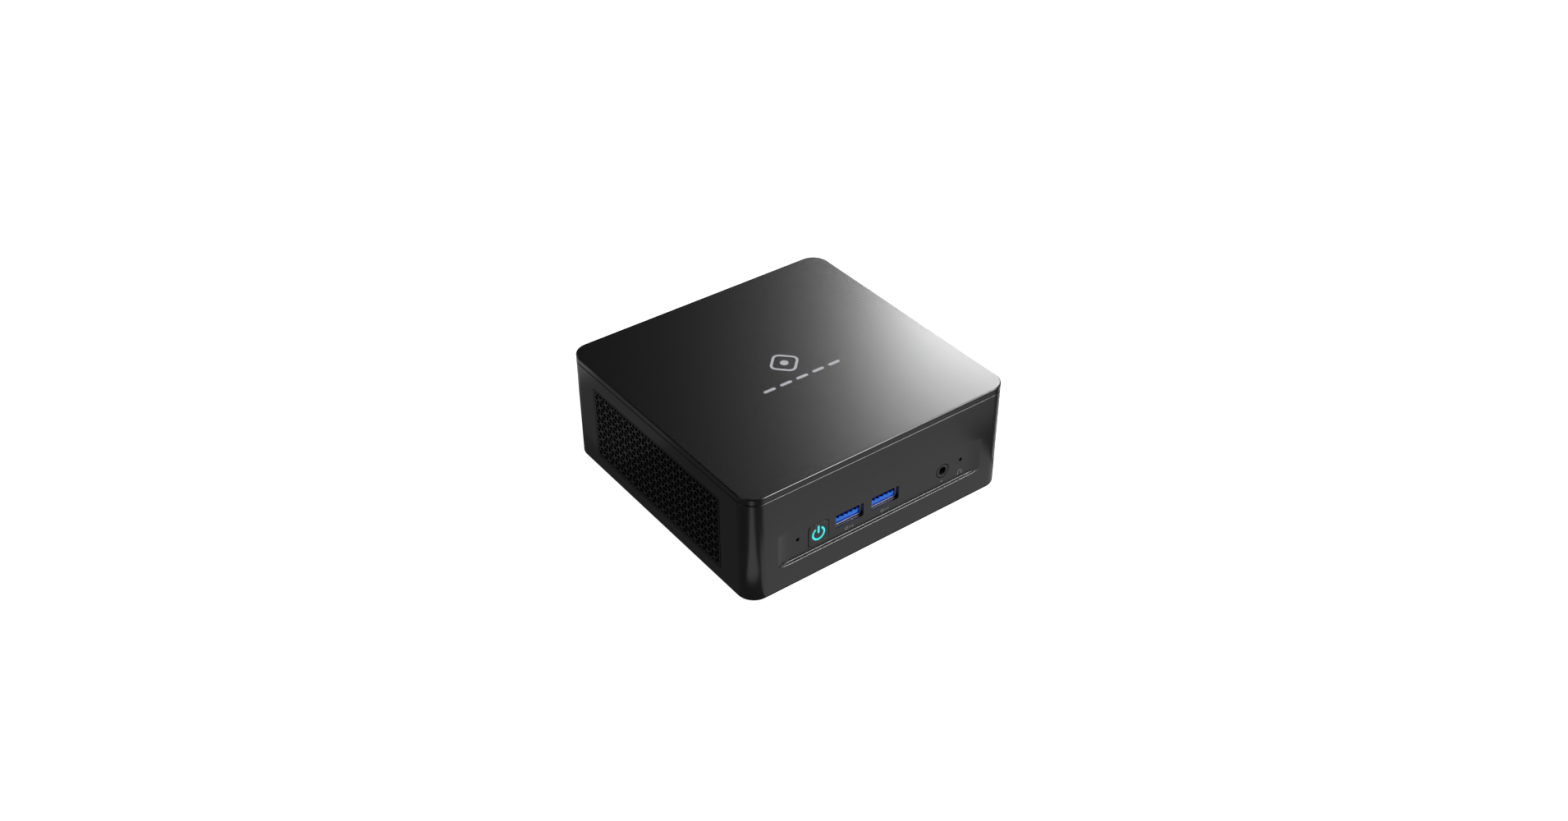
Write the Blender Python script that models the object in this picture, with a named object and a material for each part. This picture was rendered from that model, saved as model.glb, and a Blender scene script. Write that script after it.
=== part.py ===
# Mini PC: a small square desktop computer with a lift-off lid, vented sides and ports front and rear.
# Metres, +Z up, the front faces -Y; the origin is on the floor under the middle of the case.

from math import cos, pi, radians, sin, tau

import bmesh
import bpy
from mathutils import Matrix, Vector

MM = 0.001
X, Y, Z = 0, 1, 2

# Case
WIDTH, DEPTH, HEIGHT = 127.0 * MM, 124.0 * MM, 50.0 * MM
FOOT_LIFT = 1.2 * MM
CORNER = 7.6 * MM
WALL = 2.2 * MM
GAP = 0.3 * MM
HOUSING_TOP = 47.0 * MM
LID_BOTTOM = HOUSING_TOP + GAP
SHELL_MID = FOOT_LIFT + (HOUSING_TOP - FOOT_LIFT) / 2
FRONT, REAR = -DEPTH / 2, DEPTH / 2
BORE_SIDES = 16
OVERSHOOT = 1.0 * MM  # how far a cutter runs past the face it cuts

# Corner pillars, concentric with the rounded corners
PILLAR_X = WIDTH / 2 - CORNER
PILLAR_Y = DEPTH / 2 - CORNER
PILLAR_RADIUS = CORNER - WALL + 0.6 * MM
PILLAR_TOP = 44.0 * MM
PILLAR_BOTTOM = 3.8 * MM
SHELF_REACH, SHELF_ROUNDING = 8.4 * MM, 3.0 * MM
SHELF_TOP = 15.1 * MM
CORNERS = {"front_left": (-1, -1), "front_right": (1, -1), "rear_left": (-1, 1), "rear_right": (1, 1)}

# Circuit board
BOARD_TOP = 17.0 * MM
BOARD_THICKNESS = 1.6 * MM
BOARD_WIDTH, BOARD_DEPTH = 117.0 * MM, 112.0 * MM
PART_SEAT = BOARD_TOP + GAP
BOARD_SCREW_OFFSET = 5.94 * MM  # from a pillar's axis towards the middle, along X and Y

# Front recess: a shallow trough with near-level ledges and ends that run out in a large arc
RECESS_DEPTH = 1.3 * MM
RECESS_LEFT, RECESS_RIGHT = -50.2 * MM, 50.9 * MM
RECESS_RUNOUT = 6.9 * MM
RECESS_LOW, RECESS_HIGH = 12.3 * MM, 28.6 * MM
RECESS_NARROWING = 0.65 * MM  # how far the low and high edges close in at the ends
RECESS_DRAFT = 0.15 * MM
RECESS_STEPS = 6
FRONT_FLOOR = FRONT + RECESS_DEPTH
PAD_THICKNESS = 3.4 * MM  # wall thickness, face to back, behind the front and rear recesses

# Controls and ports on the front
RESET_X, RESET_Z = -40.0 * MM, 21.1 * MM
BUTTON_X, BUTTON_Z = -30.1 * MM, 19.2 * MM
BUTTON_SIZE = 9.4 * MM
BUTTON_CORNER = 1.0 * MM
BUTTON_TRAVEL = 0.6 * MM
FRONT_USB_Z = 20.3 * MM
FRONT_USB_X = {"left": -15.0 * MM, "right": 2.6 * MM}
JACK_X, JACK_Z = 32.0 * MM, 19.5 * MM
MICROPHONE_X, MICROPHONE_Z = 41.4 * MM, 21.3 * MM
PINHOLE_RADIUS = 0.8 * MM
FRONT_USB_SETBACK = 1.5 * MM
REAR_SETBACK = 0.15 * MM

# Power symbol
RING_OUTER, RING_INNER = 3.25 * MM, 2.25 * MM
RING_OPENING = 3.4 * MM
BAR_WIDTH, BAR_HEIGHT, BAR_CENTRE = 1.1 * MM, 3.6 * MM, 2.0 * MM
SYMBOL_GAP = 0.1 * MM

# Sockets: width, height and depth outside
USB_WIDTH, USB_HEIGHT, USB_DEPTH = 13.1 * MM, 5.7 * MM, 14.0 * MM
SHEET = 0.35 * MM
SOCKET_BACK = 1.2 * MM

# Rear recess and what stands in it
REAR_RECESS_DEPTH = 1.0 * MM
REAR_FLOOR = REAR - REAR_RECESS_DEPTH
REAR_RECESS_WIDTH = 100.0 * MM
REAR_RECESS_LOW, REAR_RECESS_HIGH = 15.9 * MM, 35.4 * MM

# Side grilles
GRILLE_LENGTH, GRILLE_HEIGHT = 88.0 * MM, 34.0 * MM
GRILLE_Y, GRILLE_Z = 0.5 * MM, 24.0 * MM
GRILLE_CORNER = 1.2 * MM
GRILLE_RIM = 1.3 * MM
GRILLE_FLANGE = 1.5 * MM
GRILLE_GAP = 0.25 * MM
GRILLE_COLUMNS, GRILLE_ROWS = 19, 4
GRILLE_BAR = 0.8 * MM

# Bottom cover, feet and fan inlet
COVER_BOTTOM, COVER_TOP = 1.5 * MM, 3.5 * MM
FOOT_RADIUS, FOOT_HEIGHT = 6.0 * MM, 1.4 * MM
FOOT_X, FOOT_Y = 43.0 * MM, 41.5 * MM

# Fan and cooler, under the board
FAN_X, FAN_Y = -19.0 * MM, 5.0 * MM
FAN_LOW, FAN_HIGH = 4.3 * MM, 13.5 * MM
FAN_WIDTH = 58.0 * MM
FAN_FRONT, FAN_REAR = -24.0 * MM, 43.0 * MM
FAN_WALL = 1.0 * MM
FAN_CHAMBER = 26.0 * MM
FAN_INLET = 19.0 * MM
BLADE_COUNT = 15
BLADE_TIP, BLADE_ROOT = 23.0 * MM, 10.4 * MM
FIN_COUNT = 20
FIN_LEFT, FIN_RIGHT = -43.0 * MM, 9.0 * MM
FIN_FRONT, FIN_REAR = 46.0 * MM, 58.3 * MM
PROCESSOR_X, PROCESSOR_Y = 33.0 * MM, 0.0

# Memory and drives, above the board
MEMORY_X = -12.0 * MM
MEMORY_LENGTH, MEMORY_DEPTH = 67.6 * MM, 30.0 * MM
MEMORY_BLOCK_Y = -9.0 * MM
MEMORY_LEVELS = {"lower": 20.0 * MM, "upper": 24.6 * MM}
DRIVE_Y = 14.0 * MM
DRIVE_LEFT, DRIVE_LENGTH = -44.0 * MM, 80.0 * MM
TRAY_TOP = 46.6 * MM
TRAY_BAY_WIDTH, TRAY_LENGTH = 72.0 * MM, 104.0 * MM
TRAY_DROP = 8.4 * MM
TRAY_SCREW_X = 41.5 * MM

# Finishes: colour, roughness, metallic
SATIN_BLACK = ((0.035, 0.035, 0.038), 0.38, 0.25)
MATT_BLACK = ((0.02, 0.02, 0.022), 0.6, 0.0)
SOFT_BLACK = ((0.015, 0.015, 0.015), 0.85, 0.0)
PLATED_STEEL = ((0.72, 0.72, 0.74), 0.22, 1.0)
DARK_STEEL = ((0.16, 0.16, 0.17), 0.35, 1.0)
ALUMINIUM = ((0.7, 0.71, 0.72), 0.35, 1.0)
COPPER = ((0.72, 0.4, 0.26), 0.3, 1.0)
BLUE_PLASTIC = ((0.02, 0.12, 0.85), 0.4, 0.0)
GLOWING_CYAN = ((0.1, 0.85, 0.85), 0.3, 0.0)
GREEN_BOARD = ((0.01, 0.07, 0.045), 0.45, 0.0)
GOLD = ((0.8, 0.6, 0.25), 0.25, 1.0)


def clear_scene():
    for old in list(bpy.data.objects):
        bpy.data.objects.remove(old, do_unlink=True)


def new_collection(name):
    collection = bpy.data.collections.new(name)
    bpy.context.scene.collection.children.link(collection)
    return collection


clear_scene()
PARTS = new_collection("mini_pc")
TOOLS = new_collection("mini_pc_cutters")
ROOT = bpy.data.objects.new("mini_pc_origin", None)
PARTS.objects.link(ROOT)


def place(name, bm, centre, finish):
    """Makes an object of the mesh. Without a finish it is a hidden tool for a Boolean."""
    bmesh.ops.recalc_face_normals(bm, faces=bm.faces)
    mesh = bpy.data.meshes.new(name)
    bm.to_mesh(mesh)
    bm.free()
    obj = bpy.data.objects.new(name, mesh)
    obj.location = centre
    obj.parent = ROOT
    if finish is None:
        TOOLS.objects.link(obj)
        obj.hide_render = True
        obj.display_type = "WIRE"
        return obj
    PARTS.objects.link(obj)
    paint(obj, finish)
    mesh.shade_smooth()
    mesh.set_sharp_from_angle(angle=radians(35))
    return obj


def paint(obj, finish):
    colour, roughness, metallic = finish
    material = bpy.data.materials.new(obj.name)
    material.use_nodes = True
    shader = material.node_tree.nodes["Principled BSDF"]
    shader.inputs["Base Color"].default_value = (*colour, 1)
    shader.inputs["Roughness"].default_value = roughness
    shader.inputs["Metallic"].default_value = metallic
    obj.data.materials.append(material)


def slab(name, size, centre, finish=None, corner=0.0, along=Z, steps=3, rim=0.0):
    """A box whose edges along one axis are rounded; rim also bevels the edges of its top face."""
    bm = bmesh.new()
    bmesh.ops.create_cube(bm, size=1)
    bmesh.ops.scale(bm, vec=size, verts=bm.verts)
    if corner:
        edges = [e for e in bm.edges if abs((e.verts[0].co - e.verts[1].co)[along]) > size[along] / 2]
        bmesh.ops.bevel(bm, geom=edges, offset=corner, segments=steps, profile=0.5, affect="EDGES")
    if rim:
        top = size[Z] / 2
        edges = [e for e in bm.edges if all(abs(v.co.z - top) < 1e-7 for v in e.verts)]
        bmesh.ops.bevel(bm, geom=edges, offset=rim, segments=2, profile=0.5, affect="EDGES")
    return place(name, bm, centre, finish)


def block(name, low, high, finish=None, **rounding):
    """A slab given by its lowest and highest corners."""
    low, high = Vector(low), Vector(high)
    return slab(name, high - low, (low + high) / 2, finish, **rounding)


def rod(name, radius, length, centre, finish=None, along=Z, sides=24, tip=None):
    """A cylinder, or a cone where tip gives the radius at the far end."""
    bm = bmesh.new()
    far = radius if tip is None else tip
    bmesh.ops.create_cone(bm, cap_ends=True, segments=sides, radius1=radius, radius2=far, depth=length)
    if along != Z:
        turn = Matrix.Rotation(pi / 2, 3, "Y") if along == X else Matrix.Rotation(-pi / 2, 3, "X")
        bmesh.ops.rotate(bm, cent=(0, 0, 0), matrix=turn, verts=bm.verts)
    return place(name, bm, centre, finish)


def boxes(name, size, places, turn=None):
    """Equal boxes in one tool, each at its own place, turned about Z where turn gives an angle."""
    bm = bmesh.new()
    for index, centre in enumerate(places):
        made = bmesh.ops.create_cube(bm, size=1)["verts"]
        bmesh.ops.scale(bm, vec=size, verts=made)
        if turn is not None:
            matrix = Matrix.Rotation(turn(index), 3, "Z")
            bmesh.ops.rotate(bm, cent=(0, 0, 0), matrix=matrix, verts=made)
        bmesh.ops.translate(bm, vec=centre, verts=made)
    return place(name, bm, (0, 0, 0), None)


def combine(target, operation, tools):
    for tool in tools:
        boolean = target.modifiers.new(tool.name, "BOOLEAN")
        boolean.operation = operation
        boolean.solver = "EXACT"
        boolean.object = tool
    return target


def carve(target, *tools):
    return combine(target, "DIFFERENCE", tools)


def fuse(target, *tools):
    return combine(target, "UNION", tools)


def spread(first, last, count):
    """Count values at equal steps from first to last."""
    return [first + (last - first) * i / (count - 1) for i in range(count)]


# ---- Housing ----


def recess_depth_at(x):
    """Depth of the front trough: flat, then an arc that rises to nothing at each end."""
    past = max(RECESS_LEFT + RECESS_RUNOUT - x, x - RECESS_RIGHT + RECESS_RUNOUT, 0.0)
    radius = (RECESS_RUNOUT**2 + RECESS_DEPTH**2) / (2 * RECESS_DEPTH)
    return RECESS_DEPTH - (radius - (radius**2 - past**2) ** 0.5)


def front_recess_tool():
    """The trough's cutter, lofted from one cross-section to the next along X."""
    bm = bmesh.new()
    left = spread(RECESS_LEFT, RECESS_LEFT + RECESS_RUNOUT, RECESS_STEPS)
    right = spread(RECESS_RIGHT - RECESS_RUNOUT, RECESS_RIGHT, RECESS_STEPS)
    sections = []
    for x in left + right:
        depth = max(recess_depth_at(x), 1e-6)
        share = depth / RECESS_DEPTH
        low = RECESS_LOW + RECESS_NARROWING * (1 - share)
        high = RECESS_HIGH - RECESS_NARROWING * (1 - share)
        draft = RECESS_DRAFT * share
        outline = [
            (FRONT - OVERSHOOT, low), (FRONT, low), (FRONT + depth, low + draft),
            (FRONT + depth, high - draft), (FRONT, high), (FRONT - OVERSHOOT, high),
        ]
        sections.append([bm.verts.new((x, y, z)) for y, z in outline])
    for here, there in zip(sections, sections[1:]):
        for i in range(len(here)):
            j = (i + 1) % len(here)
            bm.faces.new((here[i], here[j], there[j], there[i]))
    bm.faces.new(sections[0])
    bm.faces.new(sections[-1])
    return place("front_recess_cut", bm, (0, 0, 0), None)


def pillar_tools():
    """Each corner's pillar, its lower shelf for the board, and the bores in both."""
    added, removed = [], []
    for corner, (sx, sy) in CORNERS.items():
        at = Vector((sx * PILLAR_X, sy * PILLAR_Y, 0))
        height = PILLAR_TOP - PILLAR_BOTTOM
        middle = at + Vector((0, 0, PILLAR_BOTTOM + height / 2))
        added.append(rod(f"pillar_{corner}", PILLAR_RADIUS, height, middle, sides=20))
        outward = PILLAR_RADIUS - 0.1 * MM
        reach = SHELF_REACH + outward
        shelf_low = PILLAR_BOTTOM + 0.1 * MM
        shift = (outward - SHELF_REACH) / 2
        middle = at + Vector((sx * shift, sy * shift, (shelf_low + SHELF_TOP) / 2))
        size = (reach, reach, SHELF_TOP - shelf_low)
        added.append(slab(f"shelf_{corner}", size, middle, corner=SHELF_ROUNDING))
        top = at + Vector((0, 0, PILLAR_TOP))
        removed.append(rod(f"stud_bore_{corner}", 2.6 * MM, 16 * MM, top, sides=BORE_SIDES))
        bottom = at + Vector((0, 0, PILLAR_BOTTOM))
        removed.append(rod(f"cover_bore_{corner}", 1.5 * MM, 13 * MM, bottom, sides=12))
        inward = Vector((-sx * BOARD_SCREW_OFFSET, -sy * BOARD_SCREW_OFFSET, SHELF_TOP))
        removed.append(rod(f"board_bore_{corner}", 1.4 * MM, 11 * MM, at + inward, sides=12))
    return added, removed


def front_openings():
    across, through = PAD_THICKNESS + 2 * OVERSHOOT, FRONT + PAD_THICKNESS / 2
    hole = (BUTTON_SIZE + 0.5 * MM, across, BUTTON_SIZE + 0.5 * MM)
    yield slab("button_hole", hole, (BUTTON_X, through, BUTTON_Z), corner=1.2 * MM, along=Y)
    for side, x in FRONT_USB_X.items():
        size = (USB_WIDTH + 0.4 * MM, across, USB_HEIGHT + 0.5 * MM)
        at = (x, through, FRONT_USB_Z)
        yield slab(f"front_usb_hole_{side}", size, at, corner=0.4 * MM, along=Y, steps=1)
    yield rod("jack_hole", 3.15 * MM, across, (JACK_X, through, JACK_Z), along=Y)
    for name, x, z in (("reset", RESET_X, RESET_Z), ("microphone", MICROPHONE_X, MICROPHONE_Z)):
        yield rod(f"{name}_hole", PINHOLE_RADIUS, across, (x, through, z), along=Y, sides=12)


def rear_openings():
    across, through = PAD_THICKNESS + 2 * OVERSHOOT, REAR - PAD_THICKNESS / 2
    for name, (x, width, height, _) in REAR_SOCKETS.items():
        size = (width + 0.6 * MM, across, height + 0.6 * MM)
        at = (x, through, PART_SEAT + height / 2)
        yield slab(f"{name}_hole", size, at, corner=0.4 * MM, along=Y, steps=1)
    low, high = 5.5 * MM, 13.5 * MM
    slots = [(x, REAR, (low + high) / 2) for x in spread(FIN_LEFT + 2 * MM, FIN_RIGHT - 2 * MM, 15)]
    yield boxes("exhaust_slots", (1.8 * MM, 10 * MM, high - low), slots)
    slots = [(x, REAR, 40.3 * MM) for x in spread(-43 * MM, 43 * MM, 22)]
    yield boxes("upper_slots", (1.8 * MM, 10 * MM, 4.4 * MM), slots)


REAR_SOCKETS = {  # x of the middle, width, height, depth
    "dc_jack": (42.0 * MM, 9.0 * MM, 11.0 * MM, 13.0 * MM),
    "hdmi": (27.5 * MM, 15.0 * MM, 6.0 * MM, 12.0 * MM),
    "displayport": (8.5 * MM, 17.0 * MM, 6.0 * MM, 12.0 * MM),
    "lan_jack": (-10.5 * MM, 16.0 * MM, 13.4 * MM, 19.0 * MM),
    "rear_usb": (-28.0 * MM, 14.4 * MM, 15.6 * MM, 16.0 * MM),
    "usb_c": (-42.5 * MM, 9.2 * MM, 3.4 * MM, 9.0 * MM),
}


def make_housing():
    size = (WIDTH, DEPTH, HOUSING_TOP - FOOT_LIFT)
    housing = slab("housing", size, (0, 0, SHELL_MID), SATIN_BLACK, corner=CORNER, steps=7, rim=0.3 * MM)
    inside = (WIDTH - 2 * WALL, DEPTH - 2 * WALL, HEIGHT + 2 * OVERSHOOT)
    cavity = slab("housing_cavity", inside, (0, 0, SHELL_MID), corner=CORNER - WALL, steps=5)
    carve(housing, cavity)
    added, removed = pillar_tools()
    margin, overlap, inner = 1.6 * MM, 1.5 * MM, PAD_THICKNESS
    low, high = RECESS_LOW - margin, RECESS_HIGH + margin
    added.append(block("front_pad", (-54 * MM, FRONT + overlap, low), (54 * MM, FRONT + inner, high)))
    half = REAR_RECESS_WIDTH / 2 + 2 * MM
    low, high = REAR_RECESS_LOW - margin, REAR_RECESS_HIGH + margin
    added.append(block("rear_pad", (-half, REAR - inner, low), (half, REAR - overlap, high)))
    fuse(housing, *added)
    for side, sx in (("left", -1), ("right", 1)):
        window = (6 * WALL, GRILLE_LENGTH, GRILLE_HEIGHT)
        at = (sx * WIDTH / 2, GRILLE_Y, GRILLE_Z)
        removed.append(slab(f"{side}_grille_window", window, at, corner=GRILLE_CORNER, along=X))
    removed.append(front_recess_tool())
    removed.extend(front_openings())
    width, low, high = REAR_RECESS_WIDTH, REAR_RECESS_LOW, REAR_RECESS_HIGH
    corners = ((-width / 2, REAR_FLOOR, low), (width / 2, REAR + OVERSHOOT, high))
    removed.append(block("rear_recess_cut", *corners, corner=1.5 * MM, along=Y))
    removed.extend(rear_openings())
    size, at = (3.2 * MM, 2 * WALL + OVERSHOOT, 7.2 * MM), (PILLAR_X - 1.5 * MM, REAR, 38.0 * MM)
    removed.append(slab("lock_slot", size, at, corner=0.8 * MM, along=Y))
    carve(housing, *removed)
    return housing


# ---- Lid and the drive tray that hangs under it ----


def make_top_cover():
    size = (WIDTH, DEPTH, HEIGHT - LID_BOTTOM)
    middle = (0, 0, (HEIGHT + LID_BOTTOM) / 2)
    cover = slab("top_cover", size, middle, SATIN_BLACK, corner=CORNER, steps=7, rim=0.5 * MM)
    lip_gap = 0.4 * MM
    lip = WALL + lip_gap
    size = (WIDTH - 2 * lip, DEPTH - 2 * lip, 3.5 * MM)
    fuse(cover, slab("lid_lip", size, (0, 0, 46.25 * MM), corner=CORNER - lip, steps=6))
    inner = lip + 1.6 * MM
    size = (WIDTH - 2 * inner, DEPTH - 2 * inner, 5 * MM)
    carve(cover, slab("lid_hollow", size, (0, 0, 45.8 * MM), corner=CORNER - inner, steps=4))
    for corner, (sx, sy) in CORNERS.items():
        low, high = 38.6 * MM, 48.8 * MM
        at = (sx * PILLAR_X, sy * PILLAR_Y, (low + high) / 2)
        fuse(cover, rod(f"lid_stud_{corner}", 2.0 * MM, high - low, at, sides=16))
    for side, sx in (("left", -1), ("right", 1)):
        at = (sx * TRAY_SCREW_X, 0, 47.85 * MM)
        fuse(cover, rod(f"tray_boss_{side}", 3.2 * MM, 1.9 * MM, at, sides=20))
        at = (sx * TRAY_SCREW_X, 0, 46.9 * MM)
        carve(cover, rod(f"tray_bore_{side}", 1.3 * MM, 4 * MM, at, sides=12))
    return cover


def make_drive_tray():
    sheet = 1.0 * MM
    width = 2 * TRAY_SCREW_X + 9 * MM
    middle = (0, 0, TRAY_TOP - sheet / 2)
    tray = slab("drive_tray", (width, TRAY_LENGTH, sheet), middle, ALUMINIUM, corner=3 * MM)
    low = TRAY_TOP - TRAY_DROP
    edge = TRAY_BAY_WIDTH / 2
    for side, sx in (("left", -1), ("right", 1)):
        at = (sx * (edge + sheet / 2), 0, (low + TRAY_TOP - 0.2 * MM) / 2)
        size = (sheet, TRAY_LENGTH - 6 * MM, TRAY_TOP - 0.2 * MM - low)
        fuse(tray, slab(f"tray_flange_{side}", size, at))
        hole = (sx * TRAY_SCREW_X, 0, TRAY_TOP)
        carve(tray, rod(f"tray_hole_{side}", 1.7 * MM, 4 * MM, hole, sides=12))
    at = (0, TRAY_LENGTH / 2 - sheet, TRAY_TOP - 2.2 * MM)
    fuse(tray, slab("tray_stop", (TRAY_BAY_WIDTH + sheet, sheet, 4 * MM), at))
    return tray


def screw(name, centre, head_radius, head_height, shank_radius, shank_length, up):
    """A pan-head screw on the Z axis. The centre is under its head; up is the way the shank runs."""
    centre = Vector(centre)
    head_at = centre - Vector((0, 0, up * head_height / 2))
    made = rod(name, head_radius, head_height, head_at, PLATED_STEEL, sides=16)
    overlap = 0.2 * MM
    shank_at = centre + Vector((0, 0, up * (shank_length - overlap) / 2))
    fuse(made, rod(f"{name}_shank", shank_radius, shank_length + overlap, shank_at, sides=10))
    slot_at = centre - Vector((0, 0, up * head_height))
    carve(made, slab(f"{name}_slot_x", (head_radius * 1.2, 0.5 * MM, head_height), slot_at))
    carve(made, slab(f"{name}_slot_y", (0.5 * MM, head_radius * 1.2, head_height), slot_at))
    return made


def make_tray_screws():
    for side, sx in (("left", -1), ("right", 1)):
        under_head = (sx * TRAY_SCREW_X, 0, TRAY_TOP - 1.2 * MM)
        screw(f"tray_screw_{side}", under_head, 2.6 * MM, 1.2 * MM, 1.1 * MM, 2.9 * MM, 1)


# ---- Side grilles ----


def make_grille(side, sx):
    face = WIDTH / 2
    outer = (WALL, GRILLE_LENGTH - 2 * GRILLE_GAP, GRILLE_HEIGHT - 2 * GRILLE_GAP)
    overlap = 0.5 * MM
    at = (sx * (face - (WALL + overlap) / 2), GRILLE_Y, GRILLE_Z)
    size = (WALL + overlap, outer[1], outer[2])
    corner = GRILLE_CORNER - GRILLE_GAP
    grille = slab(f"{side}_grille", size, at, MATT_BLACK, corner=corner, along=X)
    flange_thickness = 1.0 * MM
    flange = (flange_thickness, outer[1] + 2 * GRILLE_FLANGE, outer[2] + 2 * GRILLE_FLANGE)
    at = (sx * (face - WALL - GAP - flange_thickness / 2), GRILLE_Y, GRILLE_Z)
    fuse(grille, slab(f"{side}_grille_flange", flange, at, corner=corner, along=X))
    length, height = outer[1] - 2 * GRILLE_RIM, outer[2] - 2 * GRILLE_RIM
    pitch_y = (length + GRILLE_BAR) / GRILLE_COLUMNS
    pitch_z = (height + GRILLE_BAR) / GRILLE_ROWS
    reach_y = (length + GRILLE_BAR - pitch_y) / 2
    reach_z = (height + GRILLE_BAR - pitch_z) / 2
    columns = spread(GRILLE_Y - reach_y, GRILLE_Y + reach_y, GRILLE_COLUMNS)
    rows = spread(GRILLE_Z - reach_z, GRILLE_Z + reach_z, GRILLE_ROWS)
    size = (6 * WALL, pitch_y - GRILLE_BAR, pitch_z - GRILLE_BAR)
    holes = [(sx * face, y, z) for y in columns for z in rows]
    carve(grille, boxes(f"{side}_grille_holes", size, holes))
    return grille


# ---- Underside ----


def make_bottom_cover():
    inset = WALL + GAP
    size = (WIDTH - 2 * inset, DEPTH - 2 * inset, COVER_TOP - COVER_BOTTOM)
    middle = (0, 0, (COVER_BOTTOM + COVER_TOP) / 2)
    cover = slab("bottom_cover", size, middle, MATT_BLACK, corner=CORNER - inset, steps=5)
    rows = spread(FAN_Y - 18 * MM, FAN_Y + 18 * MM, 9)
    half = [max(4 * MM, (FAN_INLET**2 - (y - FAN_Y) ** 2) ** 0.5) for y in rows]
    for index, (y, reach) in enumerate(zip(rows, half)):
        size = (2 * reach, 2.4 * MM, 8 * MM)
        at = (FAN_X, y, COVER_BOTTOM)
        carve(cover, slab(f"inlet_slot_{index}", size, at, corner=1.19 * MM, steps=2))
    for corner, (sx, sy) in CORNERS.items():
        at = Vector((sx * PILLAR_X, sy * PILLAR_Y, COVER_BOTTOM))
        carve(cover, rod(f"cover_hole_{corner}", 1.6 * MM, 6 * MM, at, sides=12))
        carve(cover, rod(f"cover_sink_{corner}", 2.9 * MM, 2.4 * MM, at, sides=16))
    return cover


def make_underside_fixings():
    for corner, (sx, sy) in CORNERS.items():
        foot_at = (sx * FOOT_X, sy * FOOT_Y, FOOT_HEIGHT / 2)
        rod(f"foot_{corner}", FOOT_RADIUS, FOOT_HEIGHT, foot_at, SOFT_BLACK, sides=28)
        under_head = (sx * PILLAR_X, sy * PILLAR_Y, COVER_BOTTOM + 1.0 * MM)
        screw(f"cover_screw_{corner}", under_head, 2.6 * MM, 0.9 * MM, 1.25 * MM, 6.5 * MM, 1)


# ---- Power button, reset switch and microphone ----


def power_symbol(label, margin, low, high):
    """Tools in the shape of the open ring and its bar, between two depths along Y."""
    depth, middle = high - low, (low + high) / 2
    at = (BUTTON_X, middle, BUTTON_Z)
    ring = rod(f"{label}_ring", RING_OUTER + margin, depth, at, along=Y, sides=32)
    carve(ring, rod(f"{label}_ring_hollow", RING_INNER - margin, 2 * depth, at, along=Y, sides=32))
    opening = RING_OPENING - 2 * margin
    above = (BUTTON_X, middle, BUTTON_Z + RING_OUTER)
    carve(ring, slab(f"{label}_ring_opening", (opening, 2 * depth, 2 * RING_OUTER), above))
    size = (BAR_WIDTH + 2 * margin, depth, BAR_HEIGHT + 2 * margin)
    at = (BUTTON_X, middle, BUTTON_Z + BAR_CENTRE)
    bar = slab(f"{label}_bar", size, at, corner=BAR_WIDTH / 3, along=Y)
    return ring, bar


def make_power_button():
    face, plate = FRONT_FLOOR - 0.1 * MM, 1.0 * MM
    depth = 3.4 * MM
    size = (BUTTON_SIZE, depth, BUTTON_SIZE)
    at = (BUTTON_X, face + depth / 2, BUTTON_Z)
    button = slab("power_button", size, at, SATIN_BLACK, corner=BUTTON_CORNER, along=Y)
    flange_at = FRONT + PAD_THICKNESS + GAP
    flange = (BUTTON_SIZE + 2.2 * MM, 0.9 * MM, BUTTON_SIZE + 2.2 * MM)
    at = (BUTTON_X, flange_at + flange[Y] / 2, BUTTON_Z)
    fuse(button, slab("button_flange", flange, at, corner=BUTTON_CORNER, along=Y))
    pocket = (BUTTON_X, face + plate + 2.5 * MM, BUTTON_Z)
    carve(button, rod("button_pocket", 4.1 * MM, 5 * MM, pocket, along=Y, sides=28))
    carve(button, *power_symbol("button", SYMBOL_GAP, face - OVERSHOOT, face + 2 * plate))
    disc = 1.0 * MM
    at = (BUTTON_X, face + plate + SYMBOL_GAP + disc / 2, BUTTON_Z)
    guide = rod("power_light_guide", 3.9 * MM, disc, at, GLOWING_CYAN, along=Y, sides=28)
    fuse(guide, *power_symbol("guide", 0.0, face, face + plate + disc / 2))
    return button


def make_power_switch():
    back = FRONT + PAD_THICKNESS + GAP + 0.9 * MM
    tip = back + 0.2 * MM
    body_front = tip + 1.6 * MM
    size = (6.0 * MM, 4.5 * MM)
    low = (BUTTON_X - size[0] / 2, body_front, PART_SEAT)
    high = (BUTTON_X + size[0] / 2, body_front + size[1], 22.8 * MM)
    switch = block("power_switch", low, high, DARK_STEEL)
    well = (BUTTON_X, body_front, BUTTON_Z)
    carve(switch, rod("power_switch_well", 1.5 * MM, 5 * MM, well, along=Y, sides=16))
    length = 3.0 * MM
    at = (BUTTON_X, tip + length / 2, BUTTON_Z)
    rod("power_plunger", 1.2 * MM, length, at, MATT_BLACK, along=Y, sides=16)


def make_reset_switch():
    body_front = FRONT + PAD_THICKNESS + 1.2 * MM
    low = (RESET_X - 2.2 * MM, body_front, PART_SEAT)
    high = (RESET_X + 2.2 * MM, body_front + 3.6 * MM, 23.6 * MM)
    switch = block("reset_switch", low, high, DARK_STEEL)
    well = (RESET_X, body_front, RESET_Z)
    carve(switch, rod("reset_switch_well", 1.0 * MM, 3 * MM, well, along=Y, sides=16))
    length = 2.0 * MM
    at = (RESET_X, body_front - 0.9 * MM + length / 2, RESET_Z)
    rod("reset_plunger", 0.7 * MM, length, at, MATT_BLACK, along=Y, sides=16)


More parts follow.
